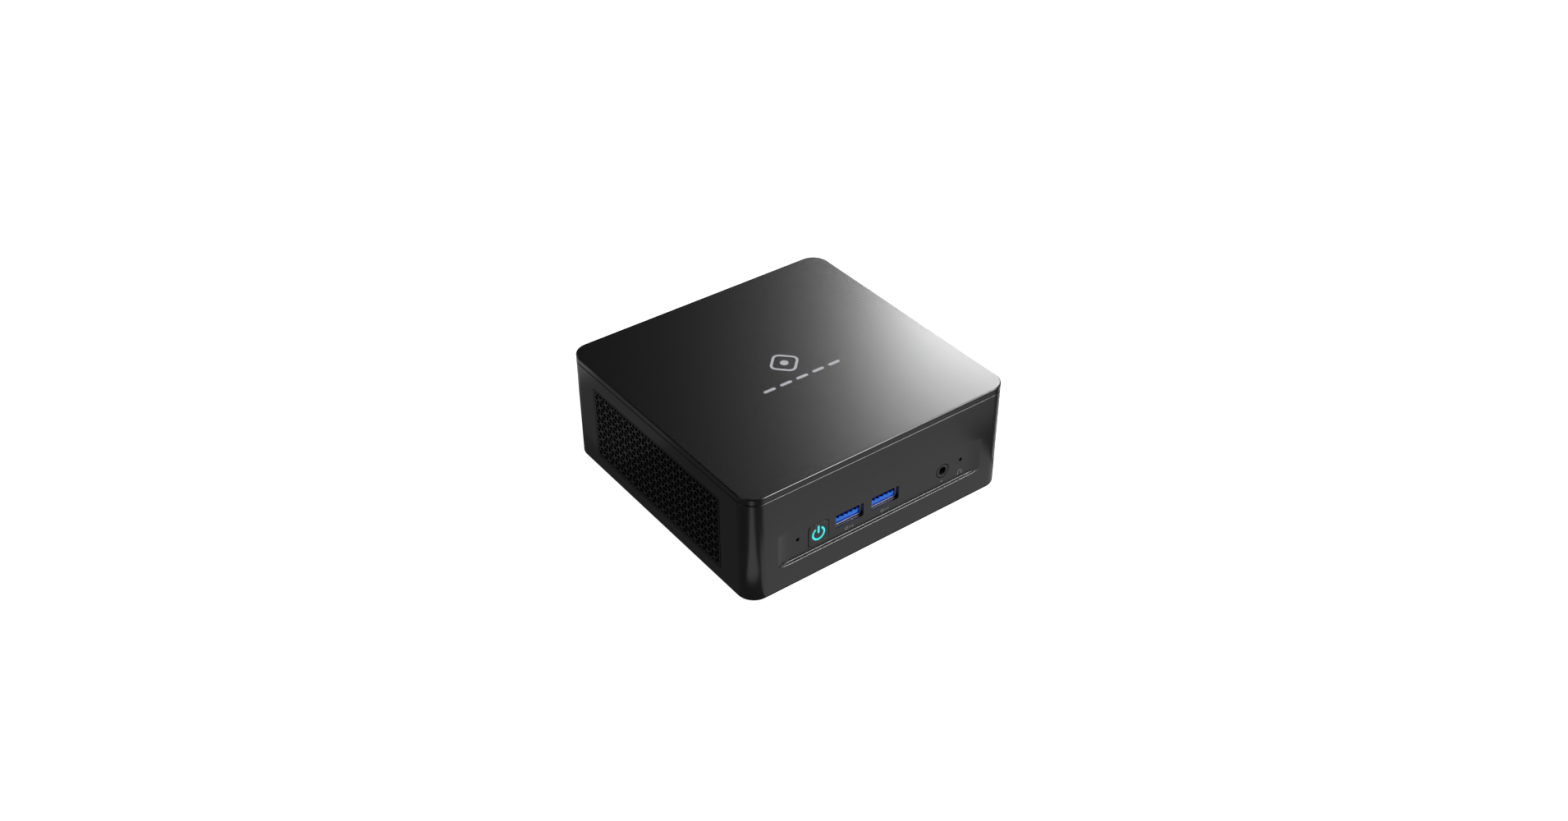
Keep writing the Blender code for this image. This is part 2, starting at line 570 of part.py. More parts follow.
def make_microphone():
    front = FRONT + PAD_THICKNESS + 0.4 * MM
    low = (MICROPHONE_X - 1.9 * MM, front, PART_SEAT)
    high = (MICROPHONE_X + 1.9 * MM, front + 1.6 * MM, MICROPHONE_Z + 1.6 * MM)
    microphone = block("microphone", low, high, GOLD)
    inlet = (MICROPHONE_X, front, MICROPHONE_Z)
    carve(microphone, rod("microphone_inlet", 0.4 * MM, 1.6 * MM, inlet, along=Y, sides=10))


# ---- Sockets ----


def socket_shell(name, x, low_z, size, face, facing, finish, apertures, rounding=0.0):
    """A box with a socket sunk in its face for each aperture: width, height, z of the middle, rounding."""
    width, depth, height = size
    middle = (x, face - facing * depth / 2, low_z + height / 2)
    shell = slab(name, size, middle, finish, corner=rounding, along=Y)
    for index, (wide, high, z, corner) in enumerate(apertures):
        sunk = depth - SOCKET_BACK
        at = (x, face - facing * (sunk - OVERSHOOT) / 2, z)
        hole = (wide, sunk + OVERSHOOT, high)
        carve(shell, slab(f"{name}_socket_{index}", hole, at, corner=corner, along=Y))
    return shell


def tongue(name, x, z, size, face, facing, setback, finish):
    """A contact plate that stops short of the socket's mouth and of its back."""
    middle = (x, face - facing * (setback + size[Y] / 2), z)
    return slab(name, size, middle, finish, corner=0.2 * MM, along=Z, steps=1)


def make_front_usb():
    face = FRONT_FLOOR + FRONT_USB_SETBACK
    aperture = (USB_WIDTH - 2 * SHEET, USB_HEIGHT - 2 * SHEET, FRONT_USB_Z, 0.3 * MM)
    plate = (11.2 * MM, 12.0 * MM, 1.8 * MM)
    for side, x in FRONT_USB_X.items():
        low = FRONT_USB_Z - USB_HEIGHT / 2
        size = (USB_WIDTH, USB_DEPTH, USB_HEIGHT)
        name = f"front_usb_{side}"
        socket_shell(f"{name}_shell", x, low, size, face, -1, PLATED_STEEL, [aperture], 0.5 * MM)
        height = FRONT_USB_Z - 0.9 * MM
        tongue(f"{name}_tongue", x, height, plate, face, -1, 0.2 * MM, BLUE_PLASTIC)


def make_audio_jack():
    face = FRONT_FLOOR
    back = face + 14 * MM
    shoulder = FRONT + PAD_THICKNESS + GAP
    low, high = (JACK_X - 3.3 * MM, shoulder, PART_SEAT), (JACK_X + 3.3 * MM, back, JACK_Z + 2.5 * MM)
    jack = block("audio_jack", low, high, MATT_BLACK)
    barrel = (shoulder - face) + OVERSHOOT / 2
    at = (JACK_X, face + barrel / 2, JACK_Z)
    fuse(jack, rod("jack_barrel", 2.95 * MM, barrel, at, along=Y, sides=28))
    bore = (JACK_X, face + 5.5 * MM, JACK_Z)
    carve(jack, rod("jack_bore", 1.8 * MM, 13.5 * MM, bore, along=Y, sides=20))


def rear_socket(key, finish, apertures, rounding=0.0, name=None):
    x, width, height, depth = REAR_SOCKETS[key]
    face, size = REAR_FLOOR - REAR_SETBACK, (width, depth, height)
    return socket_shell(name or key, x, PART_SEAT, size, face, 1, finish, apertures, rounding)


def rear_tongue(key, name, size, z, setback, finish):
    tongue(name, REAR_SOCKETS[key][0], z, size, REAR_FLOOR - REAR_SETBACK, 1, setback, finish)


def make_rear_ports():
    face = REAR_FLOOR - REAR_SETBACK
    x, _, height, _ = REAR_SOCKETS["dc_jack"]
    middle = PART_SEAT + height / 2
    jack = rear_socket("dc_jack", MATT_BLACK, [])
    bore = 9 * MM
    at = (x, face + (OVERSHOOT - bore) / 2, middle)
    carve(jack, rod("dc_bore", 3.1 * MM, bore + OVERSHOOT, at, along=Y))
    pin = bore + OVERSHOOT / 2
    pin_at = (x, face - OVERSHOOT - pin / 2 + OVERSHOOT / 2, middle)
    fuse(jack, rod("dc_pin", 0.95 * MM, pin, pin_at, along=Y, sides=14))

    middle = PART_SEAT + REAR_SOCKETS["hdmi"][2] / 2
    rear_socket("hdmi", PLATED_STEEL, [(14.1 * MM, 5.0 * MM, middle, 0.9 * MM)], 1.2 * MM, "hdmi_shell")
    rear_tongue("hdmi", "hdmi_tongue", (11.0 * MM, 8.6 * MM, 1.4 * MM), middle, 1.2 * MM, MATT_BLACK)
    middle = PART_SEAT + REAR_SOCKETS["displayport"][2] / 2
    shell = "displayport_shell"
    rear_socket("displayport", PLATED_STEEL, [(16.1 * MM, 5.0 * MM, middle, 0.9 * MM)], 1.2 * MM, shell)
    plate = (12.6 * MM, 8.6 * MM, 1.4 * MM)
    rear_tongue("displayport", "displayport_tongue", plate, middle, 1.2 * MM, MATT_BLACK)

    low = PART_SEAT + 2.4 * MM
    rear_socket("lan_jack", PLATED_STEEL, [(11.8 * MM, 7.6 * MM, low + 3.8 * MM, 0.3 * MM)])

    levels = {"lower": PART_SEAT + 4.0 * MM, "upper": PART_SEAT + 11.6 * MM}
    apertures = [(12.4 * MM, 5.0 * MM, z, 0.3 * MM) for z in levels.values()]
    rear_socket("rear_usb", PLATED_STEEL, apertures, 0.4 * MM, "rear_usb_shell")
    for level, z in levels.items():
        plate = (11.2 * MM, 10.4 * MM, 1.9 * MM)
        rear_tongue("rear_usb", f"rear_usb_{level}_tongue", plate, z + 1.0 * MM, 1.8 * MM, BLUE_PLASTIC)

    middle = PART_SEAT + REAR_SOCKETS["usb_c"][2] / 2
    aperture = (8.5 * MM, 2.7 * MM, middle, 1.3 * MM)
    rear_socket("usb_c", PLATED_STEEL, [aperture], 1.65 * MM, "usb_c_shell")
    rear_tongue("usb_c", "usb_c_tongue", (6.7 * MM, 6.0 * MM, 0.7 * MM), middle, 0.9 * MM, MATT_BLACK)


# ---- Board and what is on top of it ----


def make_motherboard():
    size = (BOARD_WIDTH, BOARD_DEPTH, BOARD_THICKNESS)
    middle = (0, 0, BOARD_TOP - BOARD_THICKNESS / 2)
    board = slab("motherboard", size, middle, GREEN_BOARD)
    for corner, (sx, sy) in CORNERS.items():
        at = Vector((sx * PILLAR_X, sy * PILLAR_Y, BOARD_TOP))
        carve(board, rod(f"board_notch_{corner}", PILLAR_RADIUS + 0.6 * MM, 8 * MM, at, sides=20))
        hole_at = at - Vector((sx * BOARD_SCREW_OFFSET, sy * BOARD_SCREW_OFFSET, 0))
        carve(board, rod(f"board_hole_{corner}", 1.5 * MM, 8 * MM, hole_at, sides=12))
        under_head = hole_at + Vector((0, 0, 0.15 * MM))
        screw(f"board_screw_{corner}", under_head, 2.1 * MM, 1.3 * MM, 1.15 * MM, 6.5 * MM, -1)


def make_memory():
    block_size = (72.0 * MM, 6.0 * MM, 9.0 * MM)
    middle = (MEMORY_X, MEMORY_BLOCK_Y, PART_SEAT + block_size[Z] / 2)
    socket = slab("memory_socket", block_size, middle, MATT_BLACK)
    arm = 1.4 * MM
    for side, sx in (("left", -1), ("right", 1)):
        x = MEMORY_X + sx * (block_size[X] - arm) / 2
        length = MEMORY_DEPTH - 3 * MM
        at = (x, MEMORY_BLOCK_Y - block_size[Y] / 2 - length / 2 + 0.5 * MM, middle[Z])
        fuse(socket, slab(f"memory_arm_{side}", (arm, length + OVERSHOOT, 7.6 * MM), at))
    board = 1.0 * MM
    rear_edge = MEMORY_BLOCK_Y
    for level, z in MEMORY_LEVELS.items():
        slot = (MEMORY_LENGTH + 0.4 * MM, 5 * MM, board + 0.4 * MM)
        carve(socket, slab(f"memory_slot_{level}", slot, (MEMORY_X, rear_edge - 2.2 * MM, z)))
        middle = (MEMORY_X, rear_edge - MEMORY_DEPTH / 2, z)
        module = slab(f"memory_module_{level}", (MEMORY_LENGTH, MEMORY_DEPTH, board), middle, GREEN_BOARD)
        chips = [(MEMORY_X + x, middle[Y] - 3 * MM, z + board) for x in spread(-25 * MM, 25 * MM, 4)]
        fuse(module, boxes(f"memory_chips_{level}", (11 * MM, 10 * MM, 1.1 * MM), chips))


def make_drive():
    x_end = DRIVE_LEFT + DRIVE_LENGTH
    z, board = 20.4 * MM, 0.8 * MM
    low = (DRIVE_LEFT - 4 * MM, DRIVE_Y - 11 * MM, PART_SEAT)
    high = (DRIVE_LEFT + 3 * MM, DRIVE_Y + 11 * MM, z + 1.4 * MM)
    socket = block("drive_socket", low, high, MATT_BLACK)
    slot = (6 * MM, 20.4 * MM + 2 * MM, board + 0.4 * MM)
    carve(socket, slab("drive_slot", slot, (DRIVE_LEFT + 2.6 * MM, DRIVE_Y, z)))
    middle = (DRIVE_LEFT + DRIVE_LENGTH / 2, DRIVE_Y, z)
    drive = slab("solid_state_drive", (DRIVE_LENGTH, 21.8 * MM, board), middle, GREEN_BOARD)
    chips = [(DRIVE_LEFT + x * MM, DRIVE_Y, z + 0.9 * MM) for x in (17, 38, 59)]
    fuse(drive, boxes("drive_chips", (14 * MM, 16 * MM, 1.3 * MM), chips))
    carve(drive, rod("drive_notch", 1.9 * MM, 4 * MM, (x_end, DRIVE_Y, z), sides=16))
    low_z, high_z = PART_SEAT, z - board / 2 - 0.1 * MM
    middle = (x_end, DRIVE_Y, (low_z + high_z) / 2)
    standoff = rod("drive_standoff", 2.7 * MM, high_z - low_z, middle, PLATED_STEEL, sides=6)
    carve(standoff, rod("standoff_bore", 1.1 * MM, 4 * MM, (x_end, DRIVE_Y, high_z), sides=12))
    under_head = (x_end, DRIVE_Y, z + board / 2 + 0.1 * MM)
    screw("drive_screw", under_head, 2.5 * MM, 0.9 * MM, 0.9 * MM, 2.2 * MM, -1)


def make_wireless_card():
    low, high = (35.8 * MM, -32 * MM, PART_SEAT), (57.8 * MM, -26.5 * MM, 21.2 * MM)
    socket = block("wireless_socket", low, high, MATT_BLACK)
    size, at = (22.4 * MM, 5 * MM, 1.2 * MM), (46.8 * MM, -25.6 * MM, 19.8 * MM)
    carve(socket, slab("wireless_slot", size, at))
    middle = (46.8 * MM, -12.9 * MM, 19.8 * MM)
    card = slab("wireless_card", (21.8 * MM, 29.4 * MM, 0.8 * MM), middle, GREEN_BOARD)
    can = (46.8 * MM, -14 * MM, 20.7 * MM)
    fuse(card, slab("wireless_can", (16 * MM, 17 * MM, 1.6 * MM), can))


def make_coin_cell():
    middle = (48.0 * MM, 28.0 * MM, PART_SEAT + 1.6 * MM)
    rod("coin_cell", 10.0 * MM, 3.2 * MM, middle, PLATED_STEEL, sides=32)


# ---- Cooler, under the board ----


def make_processor():
    top = BOARD_TOP - BOARD_THICKNESS - GAP
    thickness = 1.3 * MM
    middle = (PROCESSOR_X, PROCESSOR_Y, top - thickness / 2)
    slab("processor", (34 * MM, 34 * MM, thickness), middle, DARK_STEEL)
    plate = 1.7 * MM
    middle = (PROCESSOR_X, PROCESSOR_Y, top - thickness - 0.2 * MM - plate / 2)
    slab("cold_plate", (42 * MM, 42 * MM, plate), middle, COPPER, corner=2 * MM)


def make_heat_pipe():
    """A round pipe that runs under the cold plate, climbs and turns over the fins."""
    low, high = 9.6 * MM, 13.3 * MM
    fins = (FIN_FRONT + FIN_REAR) / 2
    route = [
        (PROCESSOR_X, -18 * MM, low), (PROCESSOR_X, 30 * MM, low), (PROCESSOR_X, 42 * MM, high),
        (PROCESSOR_X - 9 * MM, fins, high), (FIN_RIGHT, fins, high), (FIN_LEFT + 2 * MM, fins, high),
    ]
    curve = bpy.data.curves.new("heat_pipe", "CURVE")
    curve.dimensions = "3D"
    curve.bevel_depth = 1.8 * MM
    curve.bevel_resolution = 2
    curve.use_fill_caps = True
    curve.resolution_u = 5
    spline = curve.splines.new("NURBS")
    spline.points.add(len(route) - 1)
    for point, at in zip(spline.points, route):
        point.co = (*at, 1)
    spline.order_u = 3
    spline.use_endpoint_u = True
    pipe = bpy.data.objects.new("heat_pipe", curve)
    pipe.parent = ROOT
    PARTS.objects.link(pipe)
    paint(pipe, COPPER)


def make_fins():
    low, high = 4.5 * MM, 11.3 * MM
    base = 0.8 * MM
    stack = block("fin_stack", (FIN_LEFT, FIN_FRONT, low), (FIN_RIGHT, FIN_REAR, low + base), ALUMINIUM)
    thickness = 0.6 * MM
    size = (thickness, FIN_REAR - FIN_FRONT - 0.2 * MM, high - low - base / 2)
    middle_y, middle_z = (FIN_FRONT + FIN_REAR) / 2, (high + low + base / 2) / 2
    edge = thickness / 2 + 0.1 * MM
    columns = spread(FIN_LEFT + edge, FIN_RIGHT - edge, FIN_COUNT)
    fuse(stack, boxes("fins", size, [(x, middle_y, middle_z) for x in columns]))


def make_fan_housing():
    low, high = (FAN_X - FAN_WIDTH / 2, FAN_FRONT, FAN_LOW), (FAN_X + FAN_WIDTH / 2, FAN_REAR, FAN_HIGH)
    housing = block("fan_housing", low, high, MATT_BLACK, corner=8 * MM, steps=5)
    inside_low, inside_high = FAN_LOW + FAN_WALL, FAN_HIGH - FAN_WALL
    height, middle_z = inside_high - inside_low, (inside_low + inside_high) / 2
    chamber = rod("fan_chamber", FAN_CHAMBER, height, (FAN_X, FAN_Y, middle_z), sides=40)
    half = FAN_WIDTH / 2 - 3.0 * MM
    outlet_low = (FAN_X - half, FAN_Y + 6 * MM, inside_low)
    outlet = block("fan_outlet", outlet_low, (FAN_X + half, FAN_REAR + OVERSHOOT, inside_high))
    inlet = rod("fan_inlet", FAN_INLET, 3 * MM, (FAN_X, FAN_Y, FAN_LOW), sides=40)
    mouth_low = (FAN_X - FAN_WIDTH / 2, FAN_REAR - 9 * MM, FAN_LOW)
    fuse(housing, block("fan_mouth", mouth_low, high))
    carve(housing, chamber, outlet, inlet)
    post = 3.4 * MM
    at = (FAN_X, FAN_Y, FAN_HIGH - FAN_WALL / 2 - post / 2)
    fuse(housing, rod("fan_post", 3.8 * MM, post, at, sides=20))


def make_fan_rotor():
    low, high = FAN_LOW + 1.7 * MM, FAN_HIGH - FAN_WALL - 0.6 * MM
    height, middle = high - low, (FAN_X, FAN_Y, (low + high) / 2)
    rotor = rod("fan_rotor", BLADE_ROOT + 0.6 * MM, height, middle, MATT_BLACK, sides=30)
    well = (FAN_X, FAN_Y, high)
    carve(rotor, rod("rotor_well", 4.4 * MM, 6.4 * MM, well, sides=20))
    reach = (BLADE_TIP + BLADE_ROOT) / 2
    lean = radians(28)
    angles = [tau * i / BLADE_COUNT for i in range(BLADE_COUNT)]
    places = [(FAN_X + reach * cos(a), FAN_Y + reach * sin(a), middle[Z]) for a in angles]
    size = ((BLADE_TIP - BLADE_ROOT) * 1.08, 0.9 * MM, height - 0.8 * MM)
    fuse(rotor, boxes("fan_blades", size, places, turn=lambda i: angles[i] + lean))


make_housing()
make_top_cover()
make_drive_tray()
make_tray_screws()
make_grille("left", -1)
make_grille("right", 1)
make_bottom_cover()
make_underside_fixings()
make_power_button()
make_power_switch()
make_reset_switch()
make_microphone()
make_front_usb()
make_audio_jack()
make_rear_ports()
make_motherboard()
make_memory()
make_drive()
make_wireless_card()
make_coin_cell()
make_processor()
make_heat_pipe()
make_fins()
make_fan_housing()
make_fan_rotor()
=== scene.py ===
from math import asin, cos, pi, radians, sin, sqrt, tau

import bmesh
import bpy
from mathutils import Matrix, Vector


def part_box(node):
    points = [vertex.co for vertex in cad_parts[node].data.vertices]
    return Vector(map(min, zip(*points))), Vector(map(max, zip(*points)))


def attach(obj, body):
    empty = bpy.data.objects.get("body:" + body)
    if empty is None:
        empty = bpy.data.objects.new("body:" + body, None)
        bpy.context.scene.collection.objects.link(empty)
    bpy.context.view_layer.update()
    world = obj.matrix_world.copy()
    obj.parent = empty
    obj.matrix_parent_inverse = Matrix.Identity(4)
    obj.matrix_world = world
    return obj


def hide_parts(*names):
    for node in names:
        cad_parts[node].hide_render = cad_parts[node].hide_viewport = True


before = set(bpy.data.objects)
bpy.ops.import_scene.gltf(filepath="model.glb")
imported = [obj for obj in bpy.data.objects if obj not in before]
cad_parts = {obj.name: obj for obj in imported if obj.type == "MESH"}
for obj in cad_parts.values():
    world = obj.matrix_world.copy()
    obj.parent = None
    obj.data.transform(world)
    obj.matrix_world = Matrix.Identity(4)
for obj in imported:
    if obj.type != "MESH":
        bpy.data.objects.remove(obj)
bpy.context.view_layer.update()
scene = bpy.context.scene
mm = 0.001  # pieces are built in millimetres and scaled to metres when they are finished
finishes = {}


# Small tools

def where(node):
    # Lowest and highest corners of a fixed part, in millimetres
    low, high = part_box(node)
    return low / mm, high / mm


def middleOf(node):
    low, high = where(node)
    return (low + high) / 2


def evenly(first, last, count):
    return [first + (last - first) * i / (count - 1) for i in range(count)]


def linked(name, data):
    obj = bpy.data.objects.new(name, data)
    scene.collection.objects.link(obj)
    return obj


def fromBmesh(name, bm):
    mesh = bpy.data.meshes.new(name)
    bm.to_mesh(mesh)
    bm.free()
    return linked(name, mesh)


def discarded(obj):
    data = obj.data
    bpy.data.objects.remove(obj)
    (bpy.data.meshes if isinstance(data, bpy.types.Mesh) else bpy.data.curves).remove(data)


def evaluated(obj):
    # The object with its modifiers applied, as a plain mesh object of the same name
    graph = bpy.context.evaluated_depsgraph_get()
    mesh = bpy.data.meshes.new_from_object(obj.evaluated_get(graph))
    name = obj.name
    discarded(obj)
    return linked(name, mesh)


def cleaned(obj, distance=0.002, outwards=True):
    bm = bmesh.new()
    bm.from_mesh(obj.data)
    bmesh.ops.remove_doubles(bm, verts=bm.verts, dist=distance)
    bmesh.ops.dissolve_degenerate(bm, dist=distance / 4, edges=bm.edges)
    if outwards:
        bmesh.ops.recalc_face_normals(bm, faces=bm.faces)
    bm.to_mesh(obj.data)
    bm.free()
    return obj


facings = {  # which way a flat outline's own x, y and face point
    "top": ((1, 0, 0), (0, 1, 0), (0, 0, 1)),
    "bottom": ((1, 0, 0), (0, -1, 0), (0, 0, -1)),
    "front": ((1, 0, 0), (0, 0, 1), (0, -1, 0)),
    "rear": ((-1, 0, 0), (0, 0, 1), (0, 1, 0)),
    "left": ((0, -1, 0), (0, 0, 1), (-1, 0, 0)),
    "right": ((0, 1, 0), (0, 0, 1), (1, 0, 0)),
}


def facing(side, at=(0, 0, 0)):
    turn = Matrix(facings[side]).transposed().to_4x4()
    return Matrix.Translation(at) @ turn


def moved(obj, matrix):
    obj.data.transform(matrix)
    return obj


def turnedTo(side, at, *parts):
    for part in parts:
        moved(part, facing(side, at))


def roundedRect(width, height, radius, steps=6, centre=(0, 0)):
    points = []
    for index, (sx, sy) in enumerate(((1, 1), (-1, 1), (-1, -1), (1, -1))):
        for step in range(steps + 1):
            angle = (index + step / steps) * pi / 2
            x = sx * (width / 2 - radius) + radius * cos(angle)
            y = sy * (height / 2 - radius) + radius * sin(angle)
            points.append((centre[0] + x, centre[1] + y))
    return points


def ringPoints(radius, count=32, centre=(0, 0), start=0.0, sweep=tau):
    closed = abs(sweep - tau) < 1e-6
    gaps = count if closed else count - 1
    angles = [start + sweep * i / gaps for i in range(count)]
    return [(centre[0] + radius * cos(a), centre[1] + radius * sin(a)) for a in angles]


def flatPiece(name, outlines, low, high, edge=0.0, edgeSteps=1):
    # Fills the outlines, holes included, between two heights, with small rounded edges
    curve = bpy.data.curves.new(name, "CURVE")
    curve.dimensions = "2D"
    curve.fill_mode = "BOTH"
    curve.extrude = (high - low) / 2 - edge
    curve.bevel_depth = edge
    curve.bevel_resolution = edgeSteps
    curve.offset = -edge
    for points in outlines:
        spline = curve.splines.new("POLY")
        spline.points.add(len(points) - 1)
        for point, (x, y) in zip(spline.points, points):
            point.co = (x, y, 0, 1)
        spline.use_cyclic_u = True
    obj = cleaned(evaluated(linked(name, curve)))
    return moved(obj, Matrix.Translation((0, 0, (low + high) / 2)))


def turned(name, profile, steps=32):
    # A closed or open (radius, height) profile spun round the Z axis
    bm = bmesh.new()
    rings = []
    for radius, height in profile:
        if radius < 1e-6:
            rings.append([bm.verts.new((0, 0, height))])
            continue
        angles = [tau * i / steps for i in range(steps)]
        rings.append([bm.verts.new((radius * cos(a), radius * sin(a), height)) for a in angles])
    for here, there in zip(rings, rings[1:]):
        for i in range(steps):
            j = (i + 1) % steps
            corners = [here[i % len(here)], here[j % len(here)], there[j % len(there)],
                       there[i % len(there)]]
            unique = list(dict.fromkeys(corners))
            if len(unique) > 2:
                bm.faces.new(unique)
    bmesh.ops.recalc_face_normals(bm, faces=bm.faces)
    return fromBmesh(name, bm)


def softBox(name, low, high, edge=0.15, steps=2):
    # A box with all its edges rounded
    bm = bmesh.new()
    low, high = Vector(low), Vector(high)
    bmesh.ops.create_cube(bm, size=1)
    bmesh.ops.scale(bm, vec=high - low, verts=bm.verts)
    bmesh.ops.translate(bm, vec=(low + high) / 2, verts=bm.verts)
    if edge:
        bmesh.ops.bevel(bm, geom=bm.edges[:], offset=edge, segments=steps, profile=0.5, affect="EDGES")
    return fromBmesh(name, bm)


def joined(name, parts):
    # One object from (object, finish name) pairs; each face keeps its own finish
    used = list(dict.fromkeys(finish for _, finish in parts))
    bm = bmesh.new()
    for obj, finish in parts:
        start = len(bm.faces)
        bm.from_mesh(obj.data)
        bm.faces.ensure_lookup_table()
        for face in bm.faces[start:]:
            face.material_index = used.index(finish)
        discarded(obj)
    made = fromBmesh(name, bm)
    for finish in used:
        made.data.materials.append(finishes[finish])
    return made


def combined(obj, tool, operation, overlapping=False):
    boolean = obj.modifiers.new("combine", "BOOLEAN")
    boolean.operation = operation
    boolean.solver = "EXACT"
    boolean.use_self = overlapping
    boolean.object = tool
    result = evaluated(obj)
    discarded(tool)
    return result


def gathered(name, objs):
    bm = bmesh.new()
    for obj in objs:
        bm.from_mesh(obj.data)
        discarded(obj)
    return fromBmesh(name, bm)


def finished(obj, body, finish=None, stands=(), smooth=40, weighted=False):
    # Last step for every piece: finish, shading, metres, and the body that it moves with
    if finish:
        obj.data.materials.clear()
        obj.data.materials.append(finishes[finish])
        for polygon in obj.data.polygons:
            polygon.material_index = 0
    obj.data.transform(Matrix.Scale(mm, 4))
    obj.data.shade_smooth()
    obj.data.set_sharp_from_angle(angle=radians(smooth))
    if weighted:
        normals = obj.modifiers.new("even normals", "WEIGHTED_NORMAL")
        normals.keep_sharp = True
        obj = evaluated(obj)
    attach(obj, body)
    if stands:
        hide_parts(*stands)
    return obj


# Shader groups: each gives a colour, a roughness and a height that change over the surface

def shaderGroup(name, inputs, outputs):
    tree = bpy.data.node_groups.new(name, "ShaderNodeTree")
    kinds = {"colour": "NodeSocketColor", "value": "NodeSocketFloat", "vector": "NodeSocketVector"}
    for label, kind, value in inputs:
        socket = tree.interface.new_socket(label, in_out="INPUT", socket_type=kinds[kind])
        socket.default_value = (*value, 1) if kind == "colour" else value
    for label, kind in outputs:
        tree.interface.new_socket(label, in_out="OUTPUT", socket_type=kinds[kind])
    return tree, tree.nodes.new("NodeGroupInput").outputs, tree.nodes.new("NodeGroupOutput").inputs


def addNode(tree, kind, inputs=(), **settings):
    node = tree.nodes.new(kind)
    for key, value in settings.items():
        setattr(node, key, value)
    for key, value in dict(inputs).items():
        if isinstance(value, bpy.types.NodeSocket):
            tree.links.new(value, node.inputs[key])
        else:
            node.inputs[key].default_value = value
    return node


def mathNode(tree, operation, first, second=0.0, third=0.0):
    pairs = {0: first, 1: second, 2: third}
    return addNode(tree, "ShaderNodeMath", pairs, operation=operation).outputs[0]


def mixedColour(tree, factor, first, second, blend="MIX"):
    node = addNode(tree, "ShaderNodeMix", {0: factor, 6: first, 7: second}, data_type="RGBA",
                   blend_type=blend)
    return node.outputs[2]


def vectorNode(tree, operation, first, second):
    return addNode(tree, "ShaderNodeVectorMath", {0: first, 1: second}, operation=operation).outputs[0]


def vectorOf(tree, x=0.0, y=0.0, z=0.0):
    return addNode(tree, "ShaderNodeCombineXYZ", {0: x, 1: y, 2: z}).outputs[0]


def toned(tree, pattern, colour, spread):
    # The colour made a little lighter and darker by a pattern
    level = mathNode(tree, "MULTIPLY_ADD", mathNode(tree, "SUBTRACT", pattern, 0.5), spread, 1.0)
    shade = addNode(tree, "ShaderNodeCombineColor", {0: level, 1: level, 2: level}).outputs[0]
    return mixedColour(tree, 1.0, colour, shade, "MULTIPLY")


def spreadRoughness(tree, source, middle, spread):
    centred = mathNode(tree, "SUBTRACT", source, 0.5)
    return mathNode(tree, "MULTIPLY_ADD", centred, spread, middle)


commonInputs = [
    ("Colour", "colour", (0.5, 0.5, 0.5)), ("Colour Spread", "value", 0.1), ("Roughness", "value", 0.4),
    ("Roughness Spread", "value", 0.1), ("Grain Scale", "value", 2000.0), ("Drift Scale", "value", 30.0),
]
commonOutputs = [("Colour", "colour"), ("Roughness", "value"), ("Height", "value")]


def buildGrainGroup():
    # Fine even grain with slow drifts of tone and sheen: paint, moulded plastic, rubber
    tree, given, out = shaderGroup("fineGrain", commonInputs, commonOutputs)
    place = addNode(tree, "ShaderNodeTexCoord").outputs["Object"]
    fine = addNode(tree, "ShaderNodeTexNoise",
                   {"Vector": place, "Scale": given["Grain Scale"], "Detail": 2.0})
    slow = addNode(tree, "ShaderNodeTexNoise",
                   {"Vector": place, "Scale": given["Drift Scale"], "Detail": 3.0})
    tree.links.new(toned(tree, fine.outputs["Fac"], given["Colour"], given["Colour Spread"]),
                   out["Colour"])
    both = mathNode(tree, "MULTIPLY_ADD", fine.outputs["Fac"], 0.35,
                    mathNode(tree, "MULTIPLY", slow.outputs["Fac"], 0.65))
    tree.links.new(spreadRoughness(tree, both, given["Roughness"], given["Roughness Spread"]),
                   out["Roughness"])
    tree.links.new(fine.outputs["Fac"], out["Height"])
    return tree


def buildBrushedGroup():
    # Long fine lines along one axis: rolled, drawn and plated metal
    inputs = commonInputs + [("Stretch", "vector", (1.0, 1.0, 0.05))]
    tree, given, out = shaderGroup("brushedLines", inputs, commonOutputs)
    place = addNode(tree, "ShaderNodeTexCoord").outputs["Object"]
    pulled = vectorNode(tree, "MULTIPLY", place, given["Stretch"])
    lines = addNode(tree, "ShaderNodeTexNoise",
                    {"Vector": pulled, "Scale": given["Grain Scale"], "Detail": 3.0})
    slow = addNode(tree, "ShaderNodeTexNoise",
                   {"Vector": place, "Scale": given["Drift Scale"], "Detail": 2.0})
    tree.links.new(toned(tree, lines.outputs["Fac"], given["Colour"], given["Colour Spread"]),
                   out["Colour"])
    both = mathNode(tree, "MULTIPLY_ADD", lines.outputs["Fac"], 0.6,
                    mathNode(tree, "MULTIPLY", slow.outputs["Fac"], 0.4))
    tree.links.new(spreadRoughness(tree, both, given["Roughness"], given["Roughness Spread"]),
                   out["Roughness"])
    tree.links.new(lines.outputs["Fac"], out["Height"])
    return tree


